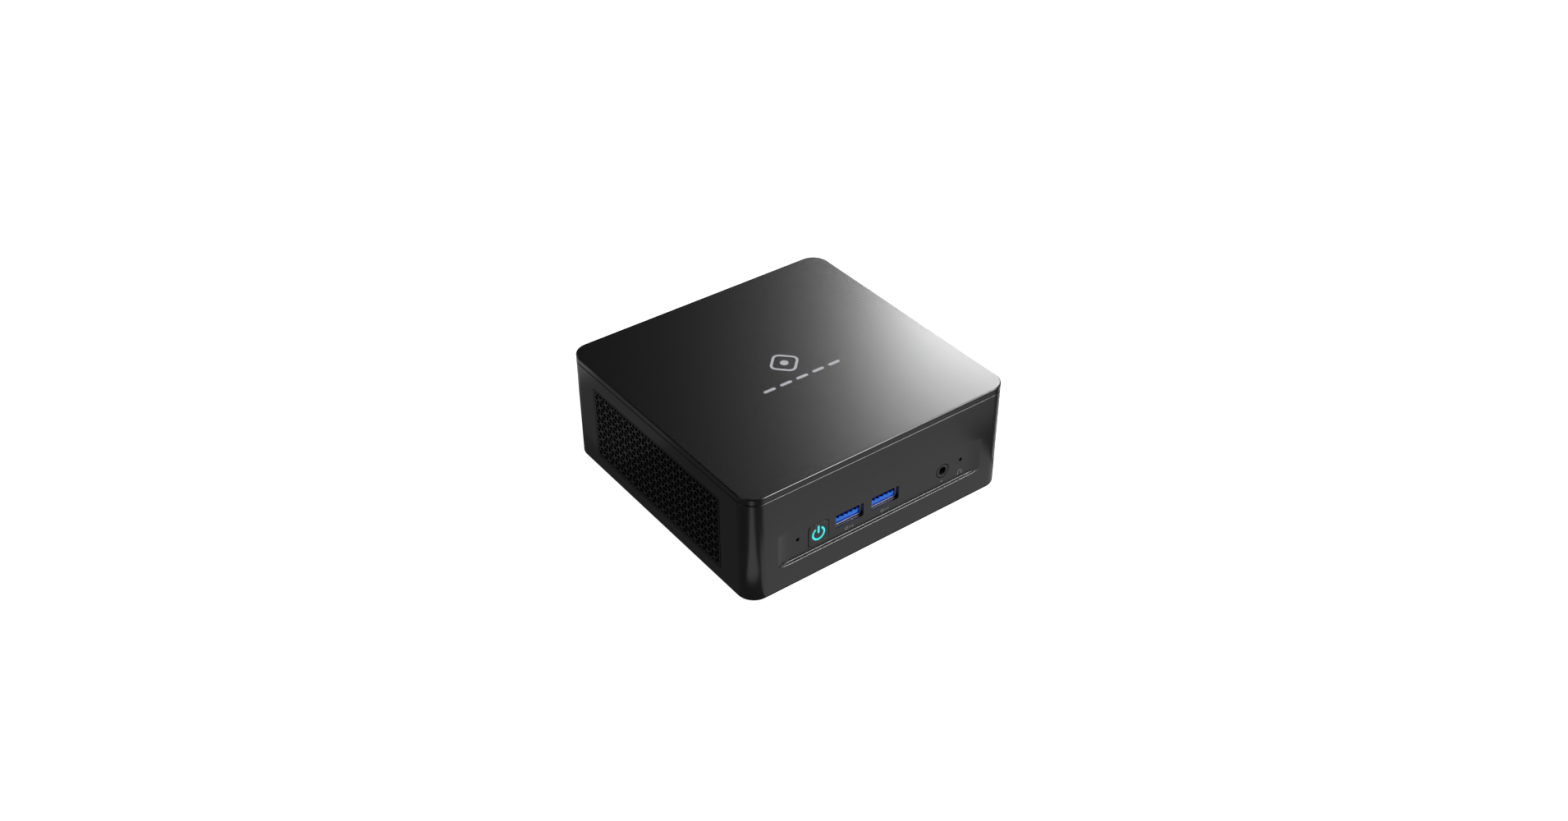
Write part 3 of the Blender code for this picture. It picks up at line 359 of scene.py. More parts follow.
def buildBoardGroup():
    # Solder mask over copper: tracks that run square, small vias and filled areas
    inputs = commonInputs + [("Track Colour", "colour", (0.03, 0.11, 0.08)),
                             ("Via Colour", "colour", (0.55, 0.45, 0.2))]
    tree, given, out = shaderGroup("boardTracks", inputs, commonOutputs)
    place = addNode(tree, "ShaderNodeTexCoord").outputs["Object"]
    cells = addNode(tree, "ShaderNodeTexVoronoi", {"Vector": place, "Scale": given["Drift Scale"]},
                    distance="MANHATTAN")
    tracks = addNode(tree, "ShaderNodeTexBrick", {"Vector": place, "Scale": given["Grain Scale"]})
    settings = {"Mortar Size": 0.012, "Mortar Smooth": 0.1, "Brick Width": 0.9, "Row Height": 0.12}
    for label, value in settings.items():
        tracks.inputs[label].default_value = value
    patches = mathNode(tree, "GREATER_THAN", cells.outputs["Distance"], 0.42)
    mask = mathNode(tree, "MULTIPLY", tracks.outputs["Fac"], patches)
    slow = addNode(tree, "ShaderNodeTexNoise", {"Vector": place, "Scale": 60.0, "Detail": 2.0})
    colour = toned(tree, slow.outputs["Fac"], given["Colour"], given["Colour Spread"])
    colour = mixedColour(tree, mask, colour, given["Track Colour"])
    dots = addNode(tree, "ShaderNodeTexVoronoi", {"Vector": place, "Scale": 420.0, "Randomness": 0.85})
    vias = mathNode(tree, "LESS_THAN", dots.outputs["Distance"], 0.1)
    tree.links.new(mixedColour(tree, vias, colour, given["Via Colour"]), out["Colour"])
    both = mathNode(tree, "ADD", mask, slow.outputs["Fac"])
    tree.links.new(spreadRoughness(tree, both, given["Roughness"], given["Roughness Spread"]),
                   out["Roughness"])
    tree.links.new(mathNode(tree, "ADD", mask, vias), out["Height"])
    return tree


reliefDepth = 0.00006  # metres that a full step of bump stands for
metal = {"Metallic": 1.0}


def gloss(level):
    return {"Specular IOR Level": level}


finishTable = {
    # group, colour, its spread, roughness, its spread, grain scale, drift scale, what the shader holds, bump
    "caseSatin": ("grain", (0.0045, 0.0045, 0.0047), 0.3, 0.27, 0.012, 7000, 18, gloss(1.0), 0.008),
    "lidSatin": ("grain", (0.0025, 0.0025, 0.0026), 0.35, 0.25, 0.006, 7000, 14, gloss(1.0), 0.006),
    "grilleBlack": ("grain", (0.0045, 0.0045, 0.0047), 0.3, 0.30, 0.04, 4200, 30, gloss(0.95), 0.02),
    # The flat near-black with almost no sheen below is painted shade: it goes where only shade falls, on the
    # sheet behind the grilles, the lining of the jack's bore and the USB tongues' contact slots
    "paintedShadeBlack": ("grain", (0.003, 0.003, 0.003), 0.5, 0.9, 0.1, 900, 50, gloss(0.1), 0.3),
    "coverBlack": ("grain", (0.012, 0.012, 0.0125), 0.4, 0.62, 0.1, 2200, 30, gloss(0.5), 0.25),
    "footRubber": ("grain", (0.014, 0.014, 0.0145), 0.5, 0.82, 0.12, 1500, 60, gloss(0.35), 0.3),
    "buttonSatin": ("grain", (0.0045, 0.0045, 0.0047), 0.3, 0.26, 0.04, 5200, 40, gloss(1.0), 0.05),
    "socketBlack": ("grain", (0.012, 0.012, 0.013), 0.4, 0.5, 0.12, 2600, 90, gloss(0.5), 0.12),
    "jackRing": ("grain", (0.014, 0.014, 0.015), 0.3, 0.3, 0.1, 3000, 90, gloss(0.8), 0.08),
    # The bright blue below is a lit copy of the tongues' blue, a painted highlight: it goes on the front
    # band of the front tongues and on the whole rear tongues
    "paintedLitBlue": ("grain", (0.02, 0.22, 1.0), 0.12, 0.34, 0.06, 2500, 120, gloss(0.6), 0.03),
    "linerBlue": ("grain", (0.002, 0.014, 0.44), 0.2, 0.42, 0.08, 2500, 120, gloss(0.5), 0.05),
    "chipBlack": ("grain", (0.014, 0.014, 0.015), 0.4, 0.55, 0.12, 2600, 150, gloss(0.5), 0.1),
    "ceramicTan": ("grain", (0.35, 0.25, 0.15), 0.2, 0.5, 0.1, 1800, 150, {}, 0.08),
    "ferriteGrey": ("grain", (0.09, 0.092, 0.095), 0.3, 0.5, 0.12, 1600, 80, {}, 0.12),
    "markGrey": ("grain", (0.56, 0.56, 0.60), 0.1, 0.5, 0.08, 2600, 50, {}, 0.04),
    "printGrey": ("grain", (0.30, 0.30, 0.31), 0.1, 0.55, 0.08, 2600, 50, {}, 0.04),
    "plated": ("brushed", (0.88, 0.88, 0.92), 0.12, 0.30, 0.12, 900, 60, metal, 0.04),
    "shieldTin": ("brushed", (0.62, 0.62, 0.63), 0.12, 0.34, 0.12, 700, 60, metal, 0.05),
    "screwZinc": ("brushed", (0.20, 0.20, 0.21), 0.15, 0.34, 0.12, 900, 90, metal, 0.05),
    "traySatin": ("brushed", (0.52, 0.53, 0.54), 0.14, 0.38, 0.12, 520, 30, metal, 0.06),
    "finAluminium": ("brushed", (0.68, 0.69, 0.70), 0.12, 0.36, 0.12, 600, 40, metal, 0.05),
    "lensGreen": ("grain", (0.05, 0.30, 0.08), 0.1, 0.25, 0.05, 1500, 90, {}, 0.03),
    "lensAmber": ("grain", (0.55, 0.26, 0.03), 0.1, 0.25, 0.05, 1500, 90, {}, 0.03),
    "copper": ("brushed", (0.72, 0.38, 0.24), 0.2, 0.3, 0.14, 500, 50, metal, 0.05),
    "gold": ("brushed", (0.85, 0.62, 0.25), 0.12, 0.26, 0.1, 900, 90, metal, 0.04),
    "maskGreen": ("board", (0.006, 0.022, 0.017), 0.3, 0.36, 0.1, 260, 48, {}, 0.15),
    "maskBlack": ("board", (0.008, 0.009, 0.010), 0.3, 0.36, 0.1, 300, 60, {}, 0.15),
}


def makeFinishes():
    groups = {"grain": buildGrainGroup(), "brushed": buildBrushedGroup(), "board": buildBoardGroup()}
    for name, row in finishTable.items():
        group, colour, spread, rough, roughSpread, grain, drift, shaderValues, bump = row
        material = bpy.data.materials.new(name)
        material.use_nodes = True
        tree = material.node_tree
        shader = tree.nodes["Principled BSDF"]
        inputs = {
            "Colour": (*colour, 1), "Colour Spread": spread, "Roughness": rough,
            "Roughness Spread": roughSpread, "Grain Scale": grain, "Drift Scale": drift,
        }
        pattern = addNode(tree, "ShaderNodeGroup", node_tree=groups[group])
        for label, value in inputs.items():
            pattern.inputs[label].default_value = value
        tree.links.new(pattern.outputs["Colour"], shader.inputs["Base Color"])
        tree.links.new(pattern.outputs["Roughness"], shader.inputs["Roughness"])
        relief = addNode(tree, "ShaderNodeBump", {"Height": pattern.outputs["Height"], "Strength": bump})
        relief.inputs["Distance"].default_value = reliefDepth
        tree.links.new(relief.outputs[0], shader.inputs["Normal"])
        for label, value in shaderValues.items():
            shader.inputs[label].default_value = value
        finishes[name] = material
    makeGlow()


glow = {"edge": (0.01, 0.42, 0.44), "heart": (0.04, 0.72, 0.72), "strength": 0.76, "scale": 700.0}


def makeGlow():
    # The lit light guide: brighter and dimmer spots as a moulded guide shows
    material = bpy.data.materials.new("litCyan")
    material.use_nodes = True
    tree = material.node_tree
    shader = tree.nodes["Principled BSDF"]
    place = addNode(tree, "ShaderNodeTexCoord").outputs["Object"]
    cloud = addNode(tree, "ShaderNodeTexNoise", {"Vector": place, "Scale": glow["scale"], "Detail": 1.0})
    level = mathNode(tree, "MULTIPLY_ADD", cloud.outputs["Fac"], 0.5, 0.55)
    colour = mixedColour(tree, level, (*glow["edge"], 1), (*glow["heart"], 1))
    tree.links.new(colour, shader.inputs["Base Color"])
    tree.links.new(colour, shader.inputs["Emission Color"])
    tree.links.new(spreadRoughness(tree, cloud.outputs["Fac"], 0.35, 0.1), shader.inputs["Roughness"])
    shader.inputs["Emission Strength"].default_value = glow["strength"]
    finishes["litCyan"] = material


# Camera, floor and lights

studio = {
    "camera": (-0.33029, -0.43925, 0.43009),
    "right": (0.8001, -0.5999, 0.0), "up": (0.3542, 0.4724, 0.8071), "back": (-0.4842, -0.6457, 0.5904),
    "lens": 38.375,
    "floor": 6.0,
    "softbox": {"at": (1.2, 1.03, 0.82), "aim": (0.02, -0.02, 0.05), "size": (0.32, 0.46), "power": 8.6},
    "key": {"at": (0.62, -0.80, 0.86), "aim": (0.0, -0.03, 0.03), "size": (0.48, 0.48), "power": 15.0},
    "leftFill": {"at": (-1.3, 0.1, 0.75), "aim": (0.0, 0.0, 0.03), "size": (1.0, 0.8), "power": 1.6},
    "rearFill": {"at": (-0.35, 1.5, 0.55), "aim": (0.0, 0.0, 0.03), "size": (0.8, 0.5), "power": 2.2},
    "sky": 0.02, "floorGlow": 0.075,
}
cards = {
    # soft panels lying on the floor beside the object: middle, size, turn in degrees, brightness
    "near front": ((0.008, -0.076), (0.128, 0.036), 0, 0.36),
    "front": ((0.034, -0.112), (0.148, 0.036), 0, 0.33),
    "far front": ((0.060, -0.170), (0.170, 0.080), 0, 0.42),
    "corner": ((-0.100, -0.102), (0.094, 0.022), 45, 0.46),
    "left": ((-0.120, 0.085), (0.100, 0.090), 0, 0.07),
    "right": ((0.137, -0.002), (0.126, 0.124), 0, 0.8),
    "rear": ((0.000, 0.165), (0.220, 0.120), 0, 0.45),
}


def makeCamera():
    data = bpy.data.cameras.new("camera")
    data.lens = studio["lens"]
    data.sensor_width = 36.0
    data.clip_start = 0.01
    scene.view_settings.view_transform = "Standard"
    camera = linked("camera", data)
    turn = Matrix((studio["right"], studio["up"], studio["back"])).transposed().to_4x4()
    camera.matrix_world = Matrix.Translation(studio["camera"]) @ turn
    scene.camera = camera


def makeLight(name, spec):
    data = bpy.data.lights.new(name, "AREA")
    data.shape = "RECTANGLE"
    data.size, data.size_y = spec["size"]
    data.energy = spec["power"]
    light = linked(name, data)
    light.location = spec["at"]
    aim = Vector(spec["aim"]) - Vector(spec["at"])
    light.rotation_euler = aim.to_track_quat("-Z", "Y").to_euler()
    light.visible_camera = False


def makeCard(name, middle, size, turn, brightness):
    data = bpy.data.lights.new(name, "AREA")
    data.shape = "RECTANGLE"
    data.size, data.size_y = size
    data.energy = brightness * pi * size[0] * size[1]
    card = linked(name, data)
    card.location = (*middle, 0.002)
    card.rotation_euler = (pi, 0, radians(turn))
    card.visible_camera = False


def makeFloor():
    bm = bmesh.new()
    bmesh.ops.create_grid(bm, x_segments=1, y_segments=1, size=studio["floor"] / 2)
    floor = fromBmesh("floor", bm)
    material = bpy.data.materials.new("paleFloor")
    material.use_nodes = True
    tree = material.node_tree
    seen = tree.nodes["Principled BSDF"]
    seen.inputs["Base Color"].default_value = (0.86, 0.86, 0.86, 1)
    seen.inputs["Roughness"].default_value = 0.9
    seen.inputs["Specular IOR Level"].default_value = 0.0
    seen.inputs["Emission Color"].default_value = (1, 1, 1, 1)
    seen.inputs["Emission Strength"].default_value = 1.0
    dim = addNode(tree, "ShaderNodeEmission", {"Strength": studio["floorGlow"]})
    path = addNode(tree, "ShaderNodeLightPath")
    mix = addNode(tree, "ShaderNodeMixShader",
                  {0: path.outputs["Is Camera Ray"], 1: dim.outputs[0], 2: seen.outputs[0]})
    tree.links.new(mix.outputs[0], tree.nodes["Material Output"].inputs["Surface"])
    floor.data.materials.append(material)


def makeSky():
    world = bpy.data.worlds.new("studio")
    world.use_nodes = True
    scene.world = world
    tree = world.node_tree
    background = tree.nodes["Background"]
    path = addNode(tree, "ShaderNodeLightPath")
    level = mathNode(tree, "MULTIPLY_ADD", path.outputs["Is Camera Ray"], 1.0 - studio["sky"],
                     studio["sky"])
    background.inputs["Color"].default_value = (1, 1, 1, 1)
    tree.links.new(level, background.inputs["Strength"])


# Housing: a skin whose front columns follow the recess, with the openings cut into it

housing = {
    "corner": 7.6, "cornerSteps": 14, "wall": 2.2, "bottomEdge": 0.5, "topEdge": 0.26,
    "recess": {
        "depth": 1.3, "left": -50.2, "right": 50.9, "runout": 6.9, "low": 12.3, "high": 28.6,
        "closing": 0.65, "draft": 0.15, "fillet": 0.34, "filletShare": 0.42, "columns": 18,
        "leastDraft": 0.02, "leastFillet": 0.01,
        # these keep the profile's points apart where it runs out
    },
    "pad": {"inner": 3.4, "overlap": 1.5, "frontHalf": 54, "rearHalf": 52, "front": (10.7, 30.2),
            "rear": (14.3, 37.0)},
    "pillar": {"x": 55.9, "y": 54.4, "radius": 6.0, "low": 3.8, "high": 44.0, "bore": 2.6,
               "boreLow": 36.0},
    "shelf": {"reach": 8.4, "high": 15.1, "corner": 3.0},
    "rearRecess": {"half": 50.0, "low": 15.9, "high": 35.4, "depth": 1.0, "corner": 1.6},
    "exhaust": {"first": -41.0, "last": 7.0, "count": 15, "width": 1.8, "low": 5.5, "high": 13.5},
    "upperSlots": {"first": -43.0, "last": 43.0, "count": 22, "width": 1.8, "low": 38.1, "high": 42.5},
    "lock": {"x": 54.4, "z": 38.0, "width": 3.2, "height": 7.2, "corner": 1.0},
    "window": {"y": 0.5, "z": 24.0, "width": 88.0, "height": 34.0, "corner": 1.2},
    "softened": 0.13,
}
buttonSpec = {
    "size": 9.4, "corner": 1.0, "gap": 0.27, "edge": 0.08, "symbolGap": 0.06,
    "ringOuter": 3.1, "ringInner": 2.3, "opening": 3.1, "barWidth": 0.9, "barTop": 3.7, "barLow": 0.3,
    "cap": 0.95, "skirt": 3.3, "bore": 4.05, "flange": 11.5, "flangeCorner": 1.6, "lightDisc": 3.9,
}


def edgeLevels(low, high, lowRound, highRound, steps=4):
    # (height, inset) pairs up a wall whose two rims are rounded
    angles = [pi / 2 * i / steps for i in range(steps + 1)]
    levels = [(low + lowRound * (1 - cos(a)), lowRound * (1 - sin(a))) for a in angles]
    return levels + [(high - highRound * (1 - sin(a)), highRound * (1 - cos(a))) for a in angles]


def recessProfile(share):
    # (height, depth) points up the trough's cross-section where it has this share of its depth
    spec = housing["recess"]
    depth = spec["depth"] * share
    low = spec["low"] + spec["closing"] * (1 - share)
    high = spec["high"] - spec["closing"] * (1 - share)
    draft = spec["draft"] * share + spec["leastDraft"]
    radius = min(spec["fillet"], depth * spec["filletShare"]) + spec["leastFillet"]
    half = []
    for i in range(6):
        angle = pi / 2 * i / 5
        half.append((low - radius * (1 - sin(angle)),
                     min(depth, radius) * (1 - cos(angle)) * (depth > 0)))
    for i in range(6):
        angle = pi / 2 * i / 5
        half.append((low + draft + radius * (1 - cos(angle)),
                     depth - min(depth, radius) * (1 - sin(angle))))
    mirrored = [(low + high - z, d) for z, d in reversed(half)]
    middle = [(z, depth) for z in evenly(half[-1][0], mirrored[0][0], 5)[1:-1]]
    return half + middle + mirrored


def recessShare(x):
    spec = housing["recess"]
    past = max(spec["left"] + spec["runout"] - x, x - spec["right"] + spec["runout"], 0.0)
    if past >= spec["runout"]:
        return 0.0
    radius = (spec["runout"] ** 2 + spec["depth"] ** 2) / (2 * spec["depth"])
    return 1 - (radius - sqrt(radius ** 2 - past ** 2)) / spec["depth"]


def perimeter(width, depth, radius, steps, frontColumns=()):
    # Points round a rounded rectangle, each with its outward direction; the front is split at the columns
    points = []
    for index, (sx, sy) in enumerate(((1, 1), (-1, 1), (-1, -1), (1, -1))):
        if index == 3:
            points += [(x, -depth / 2, 0.0, -1.0) for x in frontColumns]
        for step in range(steps + 1):
            angle = (index + step / steps) * pi / 2
            nx, ny = cos(angle), sin(angle)
            points.append((sx * (width / 2 - radius) + radius * nx,
                           sy * (depth / 2 - radius) + radius * ny, nx, ny))
    return points


def skin(name, points, levels, heights=None):
    # Rings at each level, joined and capped; heights(point, level index) may move a point
    bm = bmesh.new()
    rings = []
    for index, (z, inset) in enumerate(levels):
        ring = []
        for x, y, nx, ny in points:
            at = (x - nx * inset, y - ny * inset, z)
            ring.append(bm.verts.new(heights(at, ny, index) if heights else at))
        rings.append(ring)
    for low, high in zip(rings, rings[1:]):
        for i in range(len(points)):
            j = (i + 1) % len(points)
            bm.faces.new((low[i], low[j], high[j], high[i]))
    bm.faces.new(list(reversed(rings[0])))
    bm.faces.new(rings[-1])
    bmesh.ops.recalc_face_normals(bm, faces=bm.faces)
    return fromBmesh(name, bm)


def housingOutside(low, high):
    spec = housing["recess"]
    flat = recessProfile(0.0)
    ends = edgeLevels(low.z, high.z, housing["bottomEdge"], housing["topEdge"])
    steps = len(ends) // 2
    levels = ends[:steps] + [(z, 0.0) for z, _ in flat] + ends[steps:]
    first = steps
    left = evenly(spec["left"], spec["left"] + spec["runout"], spec["columns"])
    right = evenly(spec["right"] - spec["runout"], spec["right"], spec["columns"])
    columns = left + evenly(left[-1], right[0], 8)[1:-1] + right

    def sunk(at, ny, index):
        inside = first <= index < first + len(flat)
        if not inside or ny > -0.999 or not spec["left"] <= at[0] <= spec["right"]:
            return at
        z, depth = recessProfile(recessShare(at[0]))[index - first]
        return (at[0], at[1] + depth, z)

    size = high - low
    points = perimeter(size.x, size.y, housing["corner"], housing["cornerSteps"], columns)
    return skin("housing body", points, levels, sunk)


def throughHole(name, outline, side, at, length):
    return moved(flatPiece(name, [outline], -length / 2, length / 2), facing(side, at))


def frontCutters(recessFloor):
    cutters = []
    through = recessFloor + 1.0
    button = middleOf("power_button")
    hole = buttonSpec["size"] + 2 * buttonSpec["gap"]
    outline = roundedRect(hole, hole, buttonSpec["corner"] + buttonSpec["gap"])
    cutters.append(throughHole("button hole", outline, "front", (button.x, through, button.z), 6))
    for node in ("front_usb_left_shell", "front_usb_right_shell"):
        low, high = where(node)
        outline = roundedRect(high.x - low.x + 0.5, high.z - low.z + 0.55, 0.55, 4)
        cutters.append(throughHole("usb hole", outline, "front",
                                   ((low.x + high.x) / 2, through, (low.z + high.z) / 2), 6))
    jack = where("audio_jack")
    jackAt = ((jack[0].x + jack[1].x) / 2, through, jack[1].z - 2.5)
    cutters.append(throughHole("jack hole", ringPoints(3.25, 40), "front", jackAt, 6))
    reset = middleOf("reset_plunger")
    sound = where("microphone")
    soundAt = ((sound[0].x + sound[1].x) / 2, through, sound[1].z - 1.6)
    for at in ((reset.x, through, reset.z), soundAt):
        cutters.append(throughHole("pinhole", ringPoints(0.8, 24), "front", at, 6))
    return cutters


def rearTrough(rearFace):
    recess = housing["rearRecess"]
    outline = roundedRect(2 * recess["half"], recess["high"] - recess["low"], recess["corner"])
    at = (0, rearFace - recess["depth"], (recess["low"] + recess["high"]) / 2)
    return moved(flatPiece("rear trough", [outline], 0, 3), facing("rear", at))


def rearHoles(rearFace):
    holes = []
    through = rearFace - 2.0
    for node in ("dc_jack", "hdmi_shell", "displayport_shell", "lan_jack", "rear_usb_shell",
                 "usb_c_shell"):
        low, high = where(node)
        corner = 1.6 if node == "usb_c_shell" else 0.5
        outline = roundedRect(high.x - low.x + 0.6, high.z - low.z + 0.6, corner, 4)
        holes.append(throughHole("rear hole", outline, "rear",
                                 ((low.x + high.x) / 2, through, (low.z + high.z) / 2), 7))
    for key in ("exhaust", "upperSlots"):
        slots = housing[key]
        outline = roundedRect(slots["width"], slots["high"] - slots["low"], slots["width"] / 2 - 0.01, 4)
        for x in evenly(slots["first"], slots["last"], slots["count"]):
            holes.append(throughHole("slot", outline, "rear",
                                     (x, through, (slots["low"] + slots["high"]) / 2), 8))
    lock = housing["lock"]
    outline = roundedRect(lock["width"], lock["height"], lock["corner"], 4)
    holes.append(throughHole("lock slot", outline, "rear", (lock["x"], through, lock["z"]), 8))
    window = housing["window"]
    outline = roundedRect(window["width"], window["height"], window["corner"])
    for side, x in (("left", -63.5), ("right", 63.5)):
        holes.append(throughHole("window", outline, side, (x, window["y"], window["z"]), 14))
    return holes


def softenedOpenings(obj, planes):
    # Rounds the sharp edges that lie in these (axis, level) planes
    bm = bmesh.new()
    bm.from_mesh(obj.data)
    bmesh.ops.remove_doubles(bm, verts=bm.verts, dist=0.002)
    for axis, level in planes:
        chosen = []
        for edge in bm.edges:
            flat = all(abs(v.co[axis] - level) < 0.003 for v in edge.verts)
            if flat and len(edge.link_faces) == 2 and edge.calc_face_angle(0) > radians(60):
                chosen.append(edge)
        if chosen:
            bmesh.ops.bevel(bm, geom=chosen, offset=housing["softened"], segments=2, profile=0.5,
                            affect="EDGES", clamp_overlap=True)
    bm.to_mesh(obj.data)
    bm.free()
    return obj


def pillarPieces():
    spec, shelf = housing["pillar"], housing["shelf"]
    pieces = []
    for sx in (-1, 1):
        for sy in (-1, 1):
            at = Matrix.Translation((sx * spec["x"], sy * spec["y"], 0))
            profile = [
                (0, spec["low"]), (spec["radius"], spec["low"]), (spec["radius"], spec["high"] - 0.3),
                (spec["radius"] - 0.3, spec["high"]), (spec["bore"] + 0.3, spec["high"]),
                (spec["bore"], spec["high"] - 0.3), (spec["bore"], spec["boreLow"]), (0, spec["boreLow"]),
            ]
            pieces.append(moved(turned("pillar", profile, 36), at))
            far, near = spec["radius"] - 0.1, shelf["reach"]
            across = far + near
            outline = roundedRect(across, across, shelf["corner"], 6,
                                  (sx * (far - near) / 2, sy * (far - near) / 2))
            pieces.append(moved(flatPiece("shelf", [outline], spec["low"] + 0.1, shelf["high"], 0.25),
                                at))
    return pieces


def makeHousing():
    low, high = where("housing")
    recessFloor = low.y + housing["recess"]["depth"]
    body = housingOutside(low, high)
    wall, size = housing["wall"], high - low
    inside = perimeter(size.x - 2 * wall, size.y - 2 * wall, housing["corner"] - wall, 10)
    cavity = skin("cavity", inside, [(low.z - 3, 0.0), (high.z + 3, 0.0)])
    body = combined(body, cavity, "DIFFERENCE")
    pad = housing["pad"]
    front = softBox("pad", (-pad["frontHalf"], low.y + pad["overlap"], pad["front"][0]),
                    (pad["frontHalf"], low.y + pad["inner"], pad["front"][1]), 0.3)
    rear = softBox("pad", (-pad["rearHalf"], high.y - pad["inner"], pad["rear"][0]),
                   (pad["rearHalf"], high.y - pad["overlap"], pad["rear"][1]), 0.3)
    body = combined(body, gathered("pads", [front, rear]), "UNION")
    body = combined(body, gathered("pillars", pillarPieces()), "UNION", overlapping=True)
    cutters = frontCutters(recessFloor) + [rearTrough(high.y)]
    body = combined(body, gathered("front cut", cutters), "DIFFERENCE")
    body = combined(body, gathered("rear cut", rearHoles(high.y)), "DIFFERENCE")
    rearFloor = high.y - housing["rearRecess"]["depth"]
    planes = [(1, recessFloor), (1, high.y), (1, rearFloor), (0, low.x), (0, high.x)]
    body = softenedOpenings(body, planes)
    body.name = "caseBody"
    finished(body, "case", "caseSatin", ["housing"], 32, weighted=True)
    print("housing done")


# Lid: the cover, its lip, studs and bosses, and a plain printed mark on top

lid = {
    "bottom": 47.3, "bottomEdge": 0.16, "topEdge": 0.5, "lipGap": 0.4, "lip": 1.6, "lipLow": 44.5,
    "ceiling": 48.3, "stud": 2.0, "studLow": 38.6, "boss": 3.2, "bossX": 41.5, "bossLow": 46.9,
}
mark = {
    "thickness": 0.03, "centre": (0.9, 2.3), "ring": 12.6, "ringCorner": 3.4, "line": 1.25, "dot": 2.0,
    "scale": 0.86, "dashY": -9.6, "dashes": 5, "dash": (5.6, 1.5), "dashPitch": 8.0,
}


def makeLid():
    low, high = where("top_cover")
    size = high - low
    levels = edgeLevels(lid["bottom"], high.z, lid["bottomEdge"], lid["topEdge"], 6)
    points = perimeter(size.x, size.y, housing["corner"], housing["cornerSteps"])
    cover = skin("lid cover", points, levels)
    outer = housing["wall"] + lid["lipGap"]
    inner = outer + lid["lip"]
    outline = roundedRect(size.x - 2 * inner, size.y - 2 * inner, housing["corner"] - inner, 8)
    hollow = flatPiece("hollow", [outline], lid["bottom"] - 2, lid["ceiling"])
    cover = combined(cover, hollow, "DIFFERENCE")
    rim = roundedRect(size.x - 2 * outer, size.y - 2 * outer, housing["corner"] - outer, 8)
    added = [flatPiece("lip", [rim, outline], lid["lipLow"], lid["bottom"] + 0.5, 0.2)]
    pillar = housing["pillar"]
    for sx in (-1, 1):
        for sy in (-1, 1):
            r, z = lid["stud"], lid["studLow"]
            profile = [(0, z), (r - 0.6, z), (r, z + 0.9), (r, z + 2.2), (r - 0.35, z + 3.0),
                       (r - 0.35, 47.6), (0, 47.6)]
            added.append(moved(turned("stud", profile, 24),
                               Matrix.Translation((sx * pillar["x"], sy * pillar["y"], 0))))
    for sx in (-1, 1):
        r, z = lid["boss"], lid["bossLow"]
        profile = [(1.3, 48.2), (1.3, z + 0.2), (1.5, z), (r - 0.3, z), (r, z + 0.3), (r, 48.6),
                   (0, 48.6), (0, 48.2)]
        added.append(moved(turned("boss", profile, 28), Matrix.Translation((sx * lid["bossX"], 0, 0))))
    cover = combined(cover, gathered("lid parts", added), "UNION")
    cover.name = "lidShell"
    finished(cover, "lid", "lidSatin", ["top_cover"], 32, weighted=True)
    top, thin = high.z - 0.005, mark["thickness"]
    ring = roundedRect(mark["ring"], mark["ring"], mark["ringCorner"], 8)
    inside = mark["ring"] - 2 * mark["line"]
    hole = roundedRect(inside, inside, mark["ringCorner"] - mark["line"], 8)
    turn = Matrix.Translation((*mark["centre"], 0)) @ Matrix.Rotation(pi / 4, 4, "Z")
    turn = turn @ Matrix.Scale(mark["scale"], 4)
    outlines = [ring, hole, ringPoints(mark["dot"], 32)]
    outlines = [[tuple((turn @ Vector((x, y, 0))).xy) for x, y in points] for points in outlines]
    width, height = mark["dash"]
    middle = (mark["dashes"] - 1) / 2
    for i in range(mark["dashes"]):
        centre = (mark["centre"][0] + (i - middle) * mark["dashPitch"], mark["dashY"])
        outlines.append(roundedRect(width, height, height / 2 - 0.01, 5, centre))
    printed = flatPiece("lidMark", outlines, top, top + thin)
    finished(printed, "lid", "markGrey")
    print("lid done")


# Side grilles: one lattice cell of three holes, repeated by Geometry Nodes

lattice = {
    "pitchY": 4.41, "pitchZ": 3.961, "shortBar": 1.42, "bar": 0.46, "holeCorner": 0.32, "points": 34,
    "firstColumn": -4.065 - 4.41 * 12, "firstRow": 4.771 + 1.2, "columns": 23, "rows": 9,
    "area": (-42.6, 43.3, 8.1, 40.2), "keep": 0.8, "thickness": 1.2, "clear": 0.3,
    "flangeDepth": (2.5, 3.5),
}


def insetOutline(points, distance):
    # Moves every side of a convex outline inwards
    count, lines = len(points), []
    for i in range(count):
        (ax, ay), (bx, by) = points[i], points[(i + 1) % count]
        length = sqrt((bx - ax) ** 2 + (by - ay) ** 2)
        nx, ny = -(by - ay) / length, (bx - ax) / length
        lines.append((nx, ny, nx * ax + ny * ay + distance))
    moves = []
    for i in range(count):
        (a, b, c), (d, e, f) = lines[i - 1], lines[i]
        span = a * e - b * d
        moves.append(((c * e - b * f) / span, (a * f - c * d) / span))
    return moves


def cellHoles():
    py, pz, short, half = lattice["pitchY"], lattice["pitchZ"], lattice["shortBar"], lattice["bar"] / 2
    low, high = (pz - short) / 2, (pz + short) / 2
    diamond = [(0, 0), (py / 2, -low), (py, 0), (py / 2, low)]
    leftSide = [(0, 0), (py / 2, low), (py / 2, high), (0, pz)]
    rightSide = [(py, 0), (py, pz), (py / 2, high), (py / 2, low)]
    return [insetOutline(points, half) for points in (diamond, leftSide, rightSide)]


def geometryTree(name, inputs):
    tree = bpy.data.node_groups.new(name, "GeometryNodeTree")
    tree.interface.new_socket("Geometry", in_out="INPUT", socket_type="NodeSocketGeometry")
    for label, kind, value in inputs:
        socket = tree.interface.new_socket(label, in_out="INPUT", socket_type=kind)
        if value is not None:
            socket.default_value = value
    tree.interface.new_socket("Geometry", in_out="OUTPUT", socket_type="NodeSocketGeometry")
    return tree, tree.nodes.new("NodeGroupInput").outputs, tree.nodes.new("NodeGroupOutput").inputs


